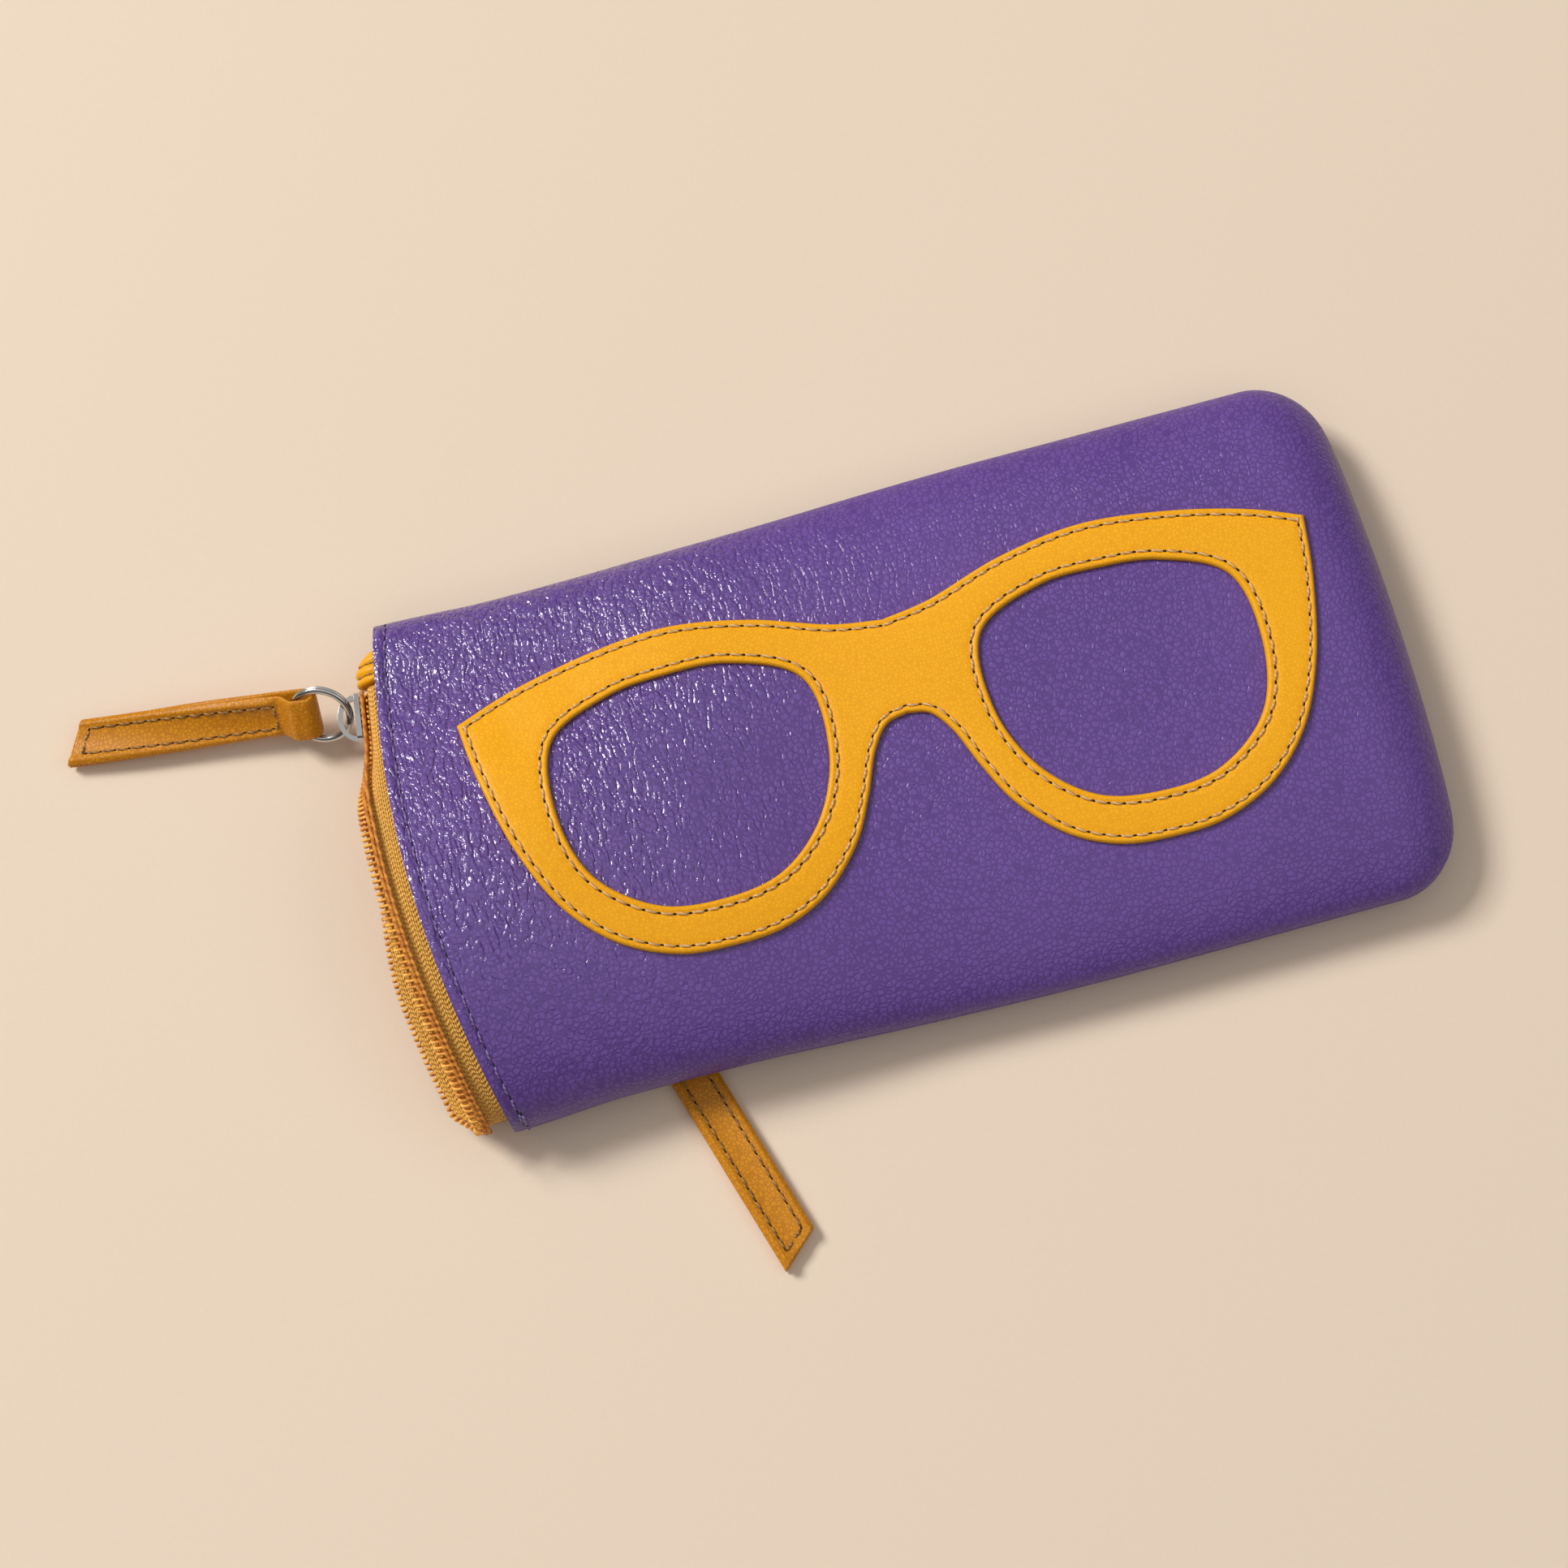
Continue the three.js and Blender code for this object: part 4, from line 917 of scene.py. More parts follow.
@dataclass
class CaseBody:
    """The leather panels, the padding and the linings of the case."""

    shape: CaseShape
    finishes: Finishes
    window: Window = field(default_factory=Window)
    rows: int = 250
    columns: int = 150
    padding: float = 1.2
    lining: float = 0.5
    lip_band: float = 5
    pocket_inner: float = 3.7
    pocket_sheet: float = 0.4
    pocket_depth: float = 140
    pocket_half: float = 34

    def sheet(
        self, side: Side, start: float, outer: object, thickness: float, rows: int, columns: int
    ) -> Surface:
        """A layer between two skins, finer towards the seams and the closed end.

        Args:
            side: The front or the back.
            start: Where it begins, from the mouth.
            outer: Its outer face's inset, or a function of s that gives it.
            thickness: Its thickness.
            rows: Steps along the case.
            columns: Steps across it.

        Returns:
            The layer as a closed sheet.
        """
        plain = self.shape.length - self.shape.end_round
        bend = max(rows // 6, 4)
        near, lip_end = rows // 10, start + self.lip_band
        lip = np.linspace(start, lip_end, near, endpoint=False)
        body = np.concatenate([lip, np.linspace(lip_end, plain, rows - bend - near, endpoint=False)])
        curl = plain + self.shape.end_round * np.sin(np.linspace(0, np.pi / 2, bend + 1))
        s = np.concatenate([body, curl])[:, None]
        r = -np.cos(np.linspace(0, np.pi, columns + 1))[None, :] * np.ones_like(s)
        base = outer(s) if callable(outer) else np.full_like(s, outer)
        faces = []
        for deep in (base, base + thickness):
            held = plain + (s - plain) * (self.shape.end_round - deep) / self.shape.end_round
            faces.append(self.shape.skin(side, np.where(s > plain, held, s), r, deep * np.ones_like(r)))
        return shell(*faces)

    def window_sheet(self) -> Surface:
        """The back panel: a grid whose lines run straight along the window's edges, less the window's cells.

        Along the case the grid is drawn between the mouth, the window's two edges and the closed end, and
        across it between the seams and the window's two ends.
        """
        w, shape = self.window, self.shape
        low, high = w.middle_x - w.width / 2, w.middle_x + w.width / 2
        steps = (34, 16, 150, 40)
        across = (16, 118, 16)
        edge = 1 - np.cos(np.linspace(0, np.pi / 2, across[0], endpoint=False))
        other_edge = 2 + np.sin(np.linspace(0, np.pi / 2, across[2] + 1))
        k = np.concatenate([edge, 1 + np.linspace(0, 1, across[1], endpoint=False), other_edge])
        a = np.concatenate([
            np.linspace(0, 1, steps[0], endpoint=False),
            1 + np.linspace(0, 1, steps[1], endpoint=False),
            2 + np.linspace(0, 1, steps[2], endpoint=False),
            3 + np.sin(np.linspace(0, np.pi / 2, steps[3] + 1)),
        ])
        k, a = k[None, :], a[:, None]
        plain = shape.length - shape.end_round
        s = np.interp(a, [0, 1, 2, 3, 4], [0, 30, 42, plain, shape.length]) * np.ones_like(k)
        for _ in range(3):
            half = shape.half_width(s, 0)
            beside = half - w.half
            inner = np.where(k < 2, -w.half + (k - 1) * 2 * w.half, w.half + (k - 2) * beside)
            y = np.where(k < 1, -half + k * beside, inner)
            s_low, s_high = shape.from_mouth(low, y), shape.from_mouth(high, y)
            knots = [np.zeros_like(y), s_low, s_high, np.full_like(y, plain), np.full_like(y, shape.length)]
            s = sum(
                np.where((a >= i) & ((a < i + 1) | (i == 3)), at + (a - i) * (to - at), 0)
                for i, (at, to) in enumerate(zip(knots[:-1], knots[1:]))
            )
        r = np.clip(y / shape.half_width(s, 0), -1, 1)
        faces = []
        for deep in (0.0, LEATHER):
            held = np.where(s > plain, plain + (s - plain) * (shape.end_round - deep) / shape.end_round, s)
            faces.append(shape.skin(Side.BACK, held, r, deep))
        ka, kk = (a[:-1, 0] + a[1:, 0]) / 2, (k[0, :-1] + k[0, 1:]) / 2
        open_cells = ((ka > 1) & (ka < 2))[:, None] & ((kk > 1) & (kk < 2))[None, :]
        edge_rows = (np.abs(a[:, 0] - 1) < 1e-9) | (np.abs(a[:, 0] - 2) < 1e-9)
        on_edge = np.ix_(edge_rows, (k[0] >= 1) & (k[0] <= 2), [1])
        for face in faces:
            face[on_edge] = np.clip(face[on_edge], -w.half, w.half)
        return shell(faces[0], faces[1], ~open_cells)

    def lining_inset(self, s: np.ndarray) -> np.ndarray:
        """Inset of the back lining, which gives the pocket its room."""
        return 3.2 + 1.3 * smoothstep(s, 4, 22) + 1.3 * smoothstep(s, 45, 66)

    def pocket(self) -> Surface:
        """The pocket's lining: a sheet that runs in from the zip, folds back and ends over the other tape."""
        shape, w, depth, half_sheet = self.shape, self.window, self.pocket_depth, self.pocket_sheet / 2
        low = LEATHER + GAP + half_sheet
        radius = (self.pocket_inner + half_sheet - low) / 2
        first, last = shape.from_mouth(w.middle_x + 11, 0.0), shape.from_mouth(w.middle_x - 10, 0.0)
        turn, out, back = np.linspace(0, np.pi, 14)[1:-1], 90, 110
        fold = depth + radius * np.sin(turn)
        s = np.concatenate([np.linspace(first, depth, out), fold, np.linspace(depth, last, back)])
        fold = low + radius - radius * np.cos(turn)
        up = np.concatenate([np.full(out, low), fold, np.full(back, low + 2 * radius)])
        nx = np.concatenate([np.zeros(out), -np.sin(turn), np.zeros(back)])
        nz = np.concatenate([np.ones(out), np.cos(turn), -np.ones(back)])
        y = np.linspace(-self.pocket_half, self.pocket_half, 41)[None, :]
        faces = []
        for n in (-half_sheet, half_sheet):
            x = shape.case_x(s[:, None], y) + n * nx[:, None]
            z = (shape.back_height(s) + up + n * nz)[:, None] * np.ones_like(y)
            faces.append(np.stack([x, y * np.ones_like(x), z], axis=-1))
        return shell(*faces)

    def lip_stitches(self, side: Side) -> Surface:
        """Stitches along a lip of the mouth."""
        reach = 0.985 if side is Side.FRONT else 0.93
        r = np.sin(np.linspace(-np.pi / 2, np.pi / 2, 400)) * reach
        s = np.full_like(r, 2.3)
        path = self.shape.skin(side, s, r, 0.0)
        ahead = self.shape.skin(side, s + 0.5, r, 0.0) - path
        up = unit(np.cross(np.gradient(path, axis=0), ahead)) * -1
        return StitchLine(3.6, 0.27, 0.66, hole=2.4).surface(path, up * (1 if side is Side.FRONT else -1))

    def corner_stitch(self) -> Surface:
        """One thick stitch that binds the side seam at the mouth's lower corner."""
        s, r = np.full(9, 2.8), np.linspace(-0.955, -1, 9)
        front = self.shape.skin(Side.FRONT, s, r, 0.0)
        back = self.shape.skin(Side.BACK, s, r[::-1], 0.0)
        path = even(np.vstack([front, (front[-1:] + back[:1]) / 2 - [0, 0.35, 0], back]), 0.3)
        up = np.tile([0.0, -0.8, 0.6], (len(path), 1))
        return StitchLine(4.2, 0.36, 0.85, hole=1.8, steps=11).surface(path, up)

    def window_stitches(self) -> Surface:
        """Stitches round the pocket's window, on the back panel's outer face."""
        w = self.window
        x, y, corner = w.width / 2 + w.stitch, w.half + w.stitch, 3.0
        arcs = []
        for quarter, (sx, sy) in enumerate(((1, 1), (-1, 1), (-1, -1), (1, -1))):
            turn = np.linspace(0, np.pi / 2, 8) + quarter * np.pi / 2
            rounded = [sx * (x - corner) + corner * np.cos(turn), sy * (y - corner) + corner * np.sin(turn)]
            arcs.append(np.stack(rounded, axis=1))
        plan = even(np.vstack([*arcs, arcs[0][:1]]), 0.5)
        px = plan[:, 0] + w.middle_x
        s = self.shape.from_mouth(px, plan[:, 1])
        path = np.stack([px, plan[:, 1], self.shape.back_height(s)], axis=1)
        return StitchLine(3.2).surface(path, np.tile([0.0, 0.0, -1.0], (len(path), 1)), True)

    def build(self) -> None:
        """Makes every layer and its stitches."""
        f, case = self.finishes, "case"
        front = self.sheet(Side.FRONT, 0, 0.0, LEATHER, self.rows, self.columns)
        dress = Dress("front_leather", case, "purple_leather", (f.purple,), ("front_panel",), 0.45)
        make_piece(front, dress)
        dress = Dress("back_leather", case, "purple_leather", (f.purple,), ("back_panel",), 0.4)
        make_piece(self.window_sheet(), dress)
        under_padding = LEATHER + GAP + self.padding + GAP
        over_pocket = self.pocket_inner + self.pocket_sheet + GAP
        layers = (
            ("front_padding", Side.FRONT, 12.5, LEATHER + GAP, self.padding, f.foam, "padding_foam"),
            ("back_padding", Side.BACK, 76, over_pocket, self.padding - 0.1, f.foam, "padding_foam"),
            ("front_lining", Side.FRONT, 8.5, under_padding, self.lining, f.lining, "lining_cloth"),
            ("back_lining", Side.BACK, 8.5, self.lining_inset, self.lining, f.lining, "lining_cloth"),
        )
        for node, side, start, outer, thickness, material, slot in layers:
            surface = self.sheet(side, start, outer, thickness, 90, 60)
            make_piece(surface, Dress(node + "_layer", case, slot, (material,), (node,)))
        dress = Dress("pocket_lining_fold", case, "lining_cloth", (f.lining,), ("pocket_lining",))
        make_piece(self.pocket(), dress)
        threads = (f.purple_thread, f.painted_hole_shade)
        for side, node in ((Side.FRONT, "front_lip_thread"), (Side.BACK, "back_lip_thread")):
            name = node.replace("thread", "stitches")
            make_piece(self.lip_stitches(side), Dress(name, case, "purple_thread", threads, (node,)))
        make_piece(self.corner_stitch(), Dress("seam_corner_stitch", case, "purple_thread", threads))
        dress = Dress("pocket_window_stitches", case, "purple_thread", threads, ("pocket_window_thread",))
        make_piece(self.window_stitches(), dress)


# ---- The glasses-shaped patch --------------------------------------------------------------------


@dataclass
class GlassesPatch:
    """The glasses-shaped leather patch on the front, with a rounded edge and its stitches."""

    shape: CaseShape
    finishes: Finishes
    centre: tuple[float, float] = (0.93, 2.45)
    turn: float = -0.8
    stretch: tuple[float, float] = (0.99, 1.012)
    thickness: float = 1.35
    edge: float = 0.75
    stitch: float = 1.3
    eye_stitch: float = 1.5
    pitch: float = 2.85
    brow: tuple = ((0, 21.2), (9, 22.6), (24, 27.3), (40, 29.7), (56, 28.2), (72, 24.5), (81.8, 20.8))
    cheek: tuple = (
        (81.8, 20.8), (80.5, 10), (76.6, -6), (70.7, -18), (62.4, -26), (52, -30.3), (42, -31),
        (32.3, -30), (23.3, -26), (15.2, -18), (10.8, -10), (7.3, -2), (4, 2), (0, 3),
    )
    eye: tuple = (
        (67.8, 0), (65.2, 13.5), (53, 19.4), (41.8, 20.7), (30.2, 20.2), (17.3, 14.2),
        (15.9, 0), (20.9, -12.1), (30.2, -20.1), (41.8, -22.4), (53.8, -20.9), (64.2, -12.9),
    )

    def outline(self, step: float) -> np.ndarray:
        """The patch's outer outline, anticlockwise: one half, and its mirror image."""
        half = np.vstack([catmull(self.brow, step)[:-1], catmull(self.cheek, step)[:-1]])
        other = (np.vstack([catmull(self.brow, step)[1:], catmull(self.cheek, step)[1:]]) * [-1, 1])[::-1]
        return np.vstack([half, other])[::-1]

    def eye_outline(self, side: int, step: float) -> np.ndarray:
        """One eye's outline, anticlockwise, on side 1 or -1."""
        eye = catmull(self.eye, step, True)
        return eye if side > 0 else (eye * [-1, 1])[::-1]

    def placed(self, plan: np.ndarray) -> np.ndarray:
        """Points of the patch's own plan, carried to the case's plan."""
        a = math.radians(self.turn)
        turned = (plan * self.stretch) @ np.array([[math.cos(a), math.sin(a)], [-math.sin(a), math.cos(a)]])
        return turned + self.centre

    def face(self, plan: np.ndarray, lift: np.ndarray | float) -> np.ndarray:
        """Points over the case's front, lifted by a height."""
        at = self.placed(plan)
        return np.column_stack([at, self.shape.front_height(at[:, 0], at[:, 1]) + lift])

    def height(self, edge: np.ndarray, outer: np.ndarray, eyes: np.ndarray) -> np.ndarray:
        """The patch's thickness, by distance: a quarter-round edge, and a dip along each stitch line."""
        t = np.clip(edge / self.edge, 0, 1)
        rounded = self.thickness * (0.45 + 0.55 * np.sqrt(1 - (1 - t) ** 2))
        dip = 0.22 * bell(outer, self.stitch, 0.4) + 0.22 * bell(eyes, self.eye_stitch, 0.4)
        return rounded - dip + 0.12 * bell(edge, 0.6, 0.4)

    @staticmethod
    def within(points: np.ndarray, outer: np.ndarray, eyes: list[np.ndarray]) -> np.ndarray:
        """Whether each plan point is inside the outer outline and outside both eyes."""
        return inside(points, outer) & ~inside(points, eyes[0]) & ~inside(points, eyes[1])

    def surface(self) -> Surface:
        """The patch: a triangulation of its plan between its outlines, raised over the case's front."""
        step = 0.55
        outer = self.outline(step)
        eyes = [self.eye_outline(side, step) for side in (-1, 1)]
        rings = [outer, *eyes]
        loose = []
        for distance in (0.1, 0.3, 0.6, 0.95, 1.3, 1.65, 2.1):
            loose.append(inset(outer, distance))
            loose += [inset(eye, -distance) for eye in eyes]
        x, y = np.meshgrid(np.arange(-86, 86, 1.1), np.arange(-34, 34, 1.1))
        loose.append(np.column_stack([x.ravel(), y.ravel()]))
        points = np.vstack(loose)
        to_eyes = np.minimum(distance_to(points, eyes[0]), distance_to(points, eyes[1]))
        near = np.minimum(distance_to(points, outer), to_eyes)
        keep = self.within(points, outer, eyes) & (near > 0.07)
        keep[-x.size :] &= near[-x.size :] > 2.4
        points = np.vstack([*rings, points[keep]])
        edges, start = [], 0
        for ring in rings:
            order = np.arange(len(ring)) + start
            edges += np.column_stack([order, np.roll(order, -1)]).tolist()
            start += len(ring)
        found = geometry.delaunay_2d_cdt([Vector(p) for p in points.tolist()], edges, [], 0, 1e-6)
        plan, faces = np.array([tuple(v) for v in found[0]]), np.array([f for f in found[2] if len(f) == 3])
        faces = faces[self.within(plan[faces].mean(1), outer, eyes)]
        to_outer = distance_to(plan, outer)
        to_eyes = np.minimum(distance_to(plan, eyes[0]), distance_to(plan, eyes[1]))
        top = self.face(plan, self.height(np.minimum(to_outer, to_eyes), to_outer, to_eyes))
        foot = self.face(plan, -0.1)
        sides = wall(open_edges(faces, len(plan)), len(plan))
        return Surface(np.vstack([top, foot]), [faces, faces[:, ::-1] + len(plan), sides], [0, 0, 0])

    def stitches(self, outline: np.ndarray, distance: float) -> Surface:
        """Stitches along an outline moved inwards by a distance."""
        plan = inset(outline, distance)
        plan = np.vstack([plan, plan[:1]])
        path = self.face(plan, self.thickness - 0.15)
        nudge = 0.4
        ahead = self.face(plan + [nudge, 0], self.thickness - 0.15) - path
        aside = self.face(plan + [0, nudge], self.thickness - 0.15) - path
        return StitchLine(self.pitch, 0.29, 0.72, hole=1.5).surface(path, unit(np.cross(ahead, aside)), True)

    def build(self) -> None:
        """Makes the patch and its three lines of stitches."""
        f = self.finishes
        dress = Dress("glasses_patch", "case", "yellow_leather", (f.yellow,), ("glasses_applique",))
        make_piece(self.surface(), dress)
        threads = (f.tan_thread, f.painted_hole_shade)
        outer = self.outline(0.4)
        lines = (
            ("edge", outer, self.stitch),
            ("left_eye", self.eye_outline(-1, 0.4), -self.eye_stitch),
            ("right_eye", self.eye_outline(1, 0.4), -self.eye_stitch),
        )
        for name, line, distance in lines:
            node = f"applique_{name}_thread"
            dress = Dress(f"patch_{name}_stitches", "case", "tan_thread", threads, (node,))
            make_piece(self.stitches(line, distance), dress)


# ---- The mouth zip -------------------------------------------------------------------------------


def dress_zip(name: str, finishes: Finishes, tape: Surface, coil: Surface, cords: Surface) -> None:
    """Makes the pieces of one side of a zip.

    Args:
        name: The side's name, with which its CAD nodes start.
        finishes: The case's materials.
        tape: The woven tape.
        coil: The coil's loops.
        cords: The cords that sew the coil down.
    """
    dress = Dress(f"{name}_tape_weave", "case", "zip_tape", (finishes.tape,), (f"{name}_tape",))
    make_piece(tape, dress)
    dress = Dress(f"{name}_coil_loops", "case", "zip_coil", (finishes.coil,), (f"{name}_coil",))
    make_piece(coil, dress)
    make_piece(cords, Dress(f"{name}_cords", "case", "zip_tape", (finishes.cord,)))


@dataclass
class MouthZip:
    """The open zip of the mouth: two tapes, their coils, and the leather cap at its shut end."""

    shape: CaseShape
    finishes: Finishes
    tape: float = 0.7
    margin: float = 8
    lead_open: float = 2.3
    lead_shut: float = 0.5
    back_hang: float = 3.0
    bend: float = 1.5
    leg: float = 2.2
    slider_y: float = 33
    slider_half: float = 4.5
    gather_from: float = 8
    low_end: float = -46.7
    cap_from: float = 38
    cap_to: float = 45
    nose: float = 4
    coil_pitch: float = 1.18

    def gathered(self, y: np.ndarray) -> np.ndarray:
        """How far the tapes are drawn to the slider: 0 where they lie open and 1 at the slider."""
        return smoothstep(y, self.gather_from, self.slider_y - self.slider_half)

    def reach(self, side: Side, y: np.ndarray) -> np.ndarray:
        """How far a tape stands out of the lip. The back one hangs further out where it is open."""
        lead = self.lead_open + (self.lead_shut - self.lead_open) * self.gathered(y)
        hang = self.back_hang * (1 - smoothstep(y, -20, 8)) * smoothstep(y, -47, -42) * (side is Side.BACK)
        return lead + hang + self.bend + self.leg

    def point(self, side: Side, y: np.ndarray, t: np.ndarray, n: np.ndarray | float) -> np.ndarray:
        """A point of a tape, which runs out of the lip and bends towards the other tape near the slider.

        Args:
            side: The front or the back tape.
            y: Place across the case.
            t: Distance out of the lip along the tape, below 0 inside it.
            n: Distance off the tape's middle, outwards.

        Returns:
            The points.
        """
        s = self.shape
        deep = LEATHER + GAP + 0.65 + self.tape / 2
        half = s.half_width(np.zeros_like(y), deep)
        r = np.clip(y / half, -EDGE, EDGE)
        within = s.skin(side, np.maximum(-t, 0) * (t < 0), r, deep - n)
        zero = np.zeros_like(y * t)
        lip = s.skin(side, zero, r + zero, deep)
        after = s.skin(side, zero, np.clip(r + 0.01, -EDGE, EDGE) + zero, deep)
        ahead = after - s.skin(side, zero, np.clip(r - 0.01, -EDGE, EDGE) + zero, deep)
        normal = unit(np.stack([zero, -side.value * ahead[..., 2], side.value * ahead[..., 1]], axis=-1))
        turn = np.maximum(np.pi / 2 * self.gathered(y), 1e-3)
        lead = self.reach(side, y) - self.bend - self.leg
        angle = turn * np.clip((t - lead) / self.bend, 0, 1)
        radius = self.bend / turn
        leg = np.maximum(t - lead - self.bend, 0)
        out = np.minimum(t, lead) + radius * np.sin(angle) + leg * np.cos(angle) + n * np.sin(angle)
        drop = radius * (1 - np.cos(angle)) + leg * np.sin(angle)
        outside = lip + normal * (n * np.cos(angle) - drop)[..., None]
        outside = outside - np.stack([out + zero, zero, zero], axis=-1)
        return np.where((t < 0)[..., None] if np.ndim(t) else t < 0, within, outside)

    def ys(self, count: int) -> np.ndarray:
        """Places across the case, closer together where the tape turns down to the side seam."""
        t = np.linspace(0, 1, count)
        return self.low_end + (self.cap_from - 0.3 - self.low_end) * (0.25 * t**2 + 0.75 * t)

    def tape_surface(self, side: Side) -> Surface:
        """A tape as a woven strip, with its pattern coordinates along and across it."""
        y = self.ys(200)[:, None]
        share = np.linspace(0, 1, 26)[None, :]
        t = -self.margin + share * (self.reach(side, y) + self.margin - 0.5)
        edge = np.sqrt(1 - np.abs(2 * share - 1) ** 16)
        faces = [self.point(side, y + 0 * t, t, sign * self.tape / 2 * edge) for sign in (1, -1)]
        run = np.cumsum(np.linalg.norm(np.diff(faces[0][:, 12], axis=0, prepend=faces[0][:1, 12]), axis=1))
        uv = np.stack([run[:, None] + 0 * t, t + self.margin], axis=-1)
        return shell(faces[0], faces[1], None, uv)

    def stations(self, side: Side) -> np.ndarray:
        """Places across the case a coil's pitch apart, measured along the tape's outer edge."""
        y = np.linspace(self.low_end + 0.4, self.cap_from - 0.8, 900)
        edge = self.point(side, y, self.reach(side, y), 0.0 * y)
        run = running(edge)
        at = np.arange(0, run[-1], self.coil_pitch)
        return np.interp(at, run, y)

    def coil(self, side: Side) -> Surface:
        """The coil's loops: each leaves the tape, turns round a bulged head and comes back below itself."""
        y = self.stations(side)[:, None]
        turn = np.linspace(-np.pi / 2, np.pi / 2, 7)
        top, low, head = 1.42, 0.62, 0.12
        t_off = np.concatenate([[-2.3, -1.2], -0.45 + 0.57 * np.cos(turn), [-1.2, -2.3]])
        n_off = np.concatenate([[top, top], (top + low) / 2 - (top - low) / 2 * np.sin(turn), [low, low]])
        lean = np.linspace(-0.16, 0.16, len(t_off))
        reach = self.reach(side, y)
        t = reach + t_off[None, :]
        path = self.point(side, y + lean[None, :], t, np.broadcast_to(n_off, t.shape))
        before = self.point(side, y + lean[None, :] - 0.05, t, np.broadcast_to(n_off, t.shape))
        up = unit(path - before)
        thick = 0.25 + head * bell(t_off, 0.0, 0.4)
        return wires(path, up, np.broadcast_to(thick, t.shape), 6)

    def cords(self, side: Side) -> Surface:
        """Two twisted cords that sew the coil down: tubes whose thickness swells once in each pitch."""
        y = self.ys(420)[None, :]
        parts = []
        for offset, size in ((-1.55, 0.42), (-2.3, 0.38)):
            t = self.reach(side, y) + offset
            rise = 1.5
            path = self.point(side, y, t, np.full_like(y, rise))
            above = self.point(side, y, t, np.full_like(y, rise + 0.3))
            swell = size * (1 + 0.2 * np.cos(2 * np.pi * running(path[0]) / self.coil_pitch))[None, :]
            parts.append(wires(path, unit(above - path), swell, 8))
        return Surface.joined(parts)

    def cap_point(self, y: np.ndarray, s: np.ndarray, c: np.ndarray) -> np.ndarray:
        """A point of the end cap: c runs from -1 at its lower face to 1 at its upper.

        The nose is half an ellipse in front of the mouth. Two grooves run round it under the stitch lines.
        """
        inward = LEATHER + 2 * GAP
        share = (y - self.cap_from) / (self.cap_to - self.cap_from)
        nose = self.nose * (1 - 0.55 * smoothstep(share, 0.4, 1) ** 2)
        out = np.clip(-s / self.nose, 0, 1)
        r = np.clip(y / self.shape.half_width(np.zeros_like(y), inward), -EDGE, EDGE)
        top = self.shape.skin(Side.FRONT, np.maximum(s, 0), r, inward)[..., 2]
        low = self.shape.skin(Side.BACK, np.maximum(s, 0), r, inward)[..., 2]
        groove = 0.4 * (bell(share, 0.3, 0.07) + bell(share, 0.6, 0.07))
        side_round = np.sqrt(np.clip(1 - np.abs(2 * share - 1) ** 7, 0.04, 1))
        half = ((top - low) / 2 - groove) * np.sqrt(1 - out**2) * side_round
        x = self.shape.case_x(np.maximum(s, 0), y) - (nose - groove) * out * side_round
        return np.stack([x, y, (top + low) / 2 + c * half], axis=-1)

    def cap(self) -> Surface:
        """The end cap: its upper and lower faces, joined round the nose."""
        y = np.linspace(self.cap_from, self.cap_to, 50)[:, None]
        turn = np.linspace(0, np.pi / 2, 16)
        s = np.concatenate([-self.nose * np.cos(turn), np.linspace(0.4, 5.8, 10)])[None, :]
        grid_y, grid_s = y + 0 * s, s + 0 * y
        upper, lower = (self.cap_point(grid_y, grid_s, face * np.ones_like(grid_s)) for face in (1, -1))
        return shell(upper, lower)

    def cap_stitches(self, share: float) -> Surface:
        """Stitches across the end cap's upper face and over its nose."""
        y0 = self.cap_from + share * (self.cap_to - self.cap_from)
        out = np.linspace(0.05, 0.93, 40)
        y = np.full_like(out, y0)
        path = self.cap_point(y, -self.nose * out, np.ones_like(out))
        back = self.cap_point(y, -self.nose * out - 0.05, np.ones_like(out)) - path
        up = unit(np.cross(back, np.array([0.0, 1.0, 0.0])))
        up *= np.sign(up[:, 2:3])
        return StitchLine(1.9, 0.2).surface(path, up)

    def build(self) -> None:
        """Makes the tapes, coils, cords and the end cap."""
        f, case = self.finishes, "case"
        for side, word in ((Side.FRONT, "front"), (Side.BACK, "back")):
            dress_zip(f"mouth_zip_{word}", f, self.tape_surface(side), self.coil(side), self.cords(side))
        dress = Dress("mouth_zip_cap", case, "yellow_leather", (f.yellow,), ("mouth_zip_end_cap",), 0.3)
        make_piece(self.cap(), dress)
        for word, share in (("near", 0.3), ("far", 0.6)):
            name, node = f"mouth_zip_cap_stitches_{word}", f"mouth_zip_cap_thread_{word}"
            dress = Dress(name, case, "ochre_thread", (f.ochre_thread, f.painted_hole_shade), (node,))
            make_piece(self.cap_stitches(share), dress)


# ---- The pocket zip ------------------------------------------------------------------------------


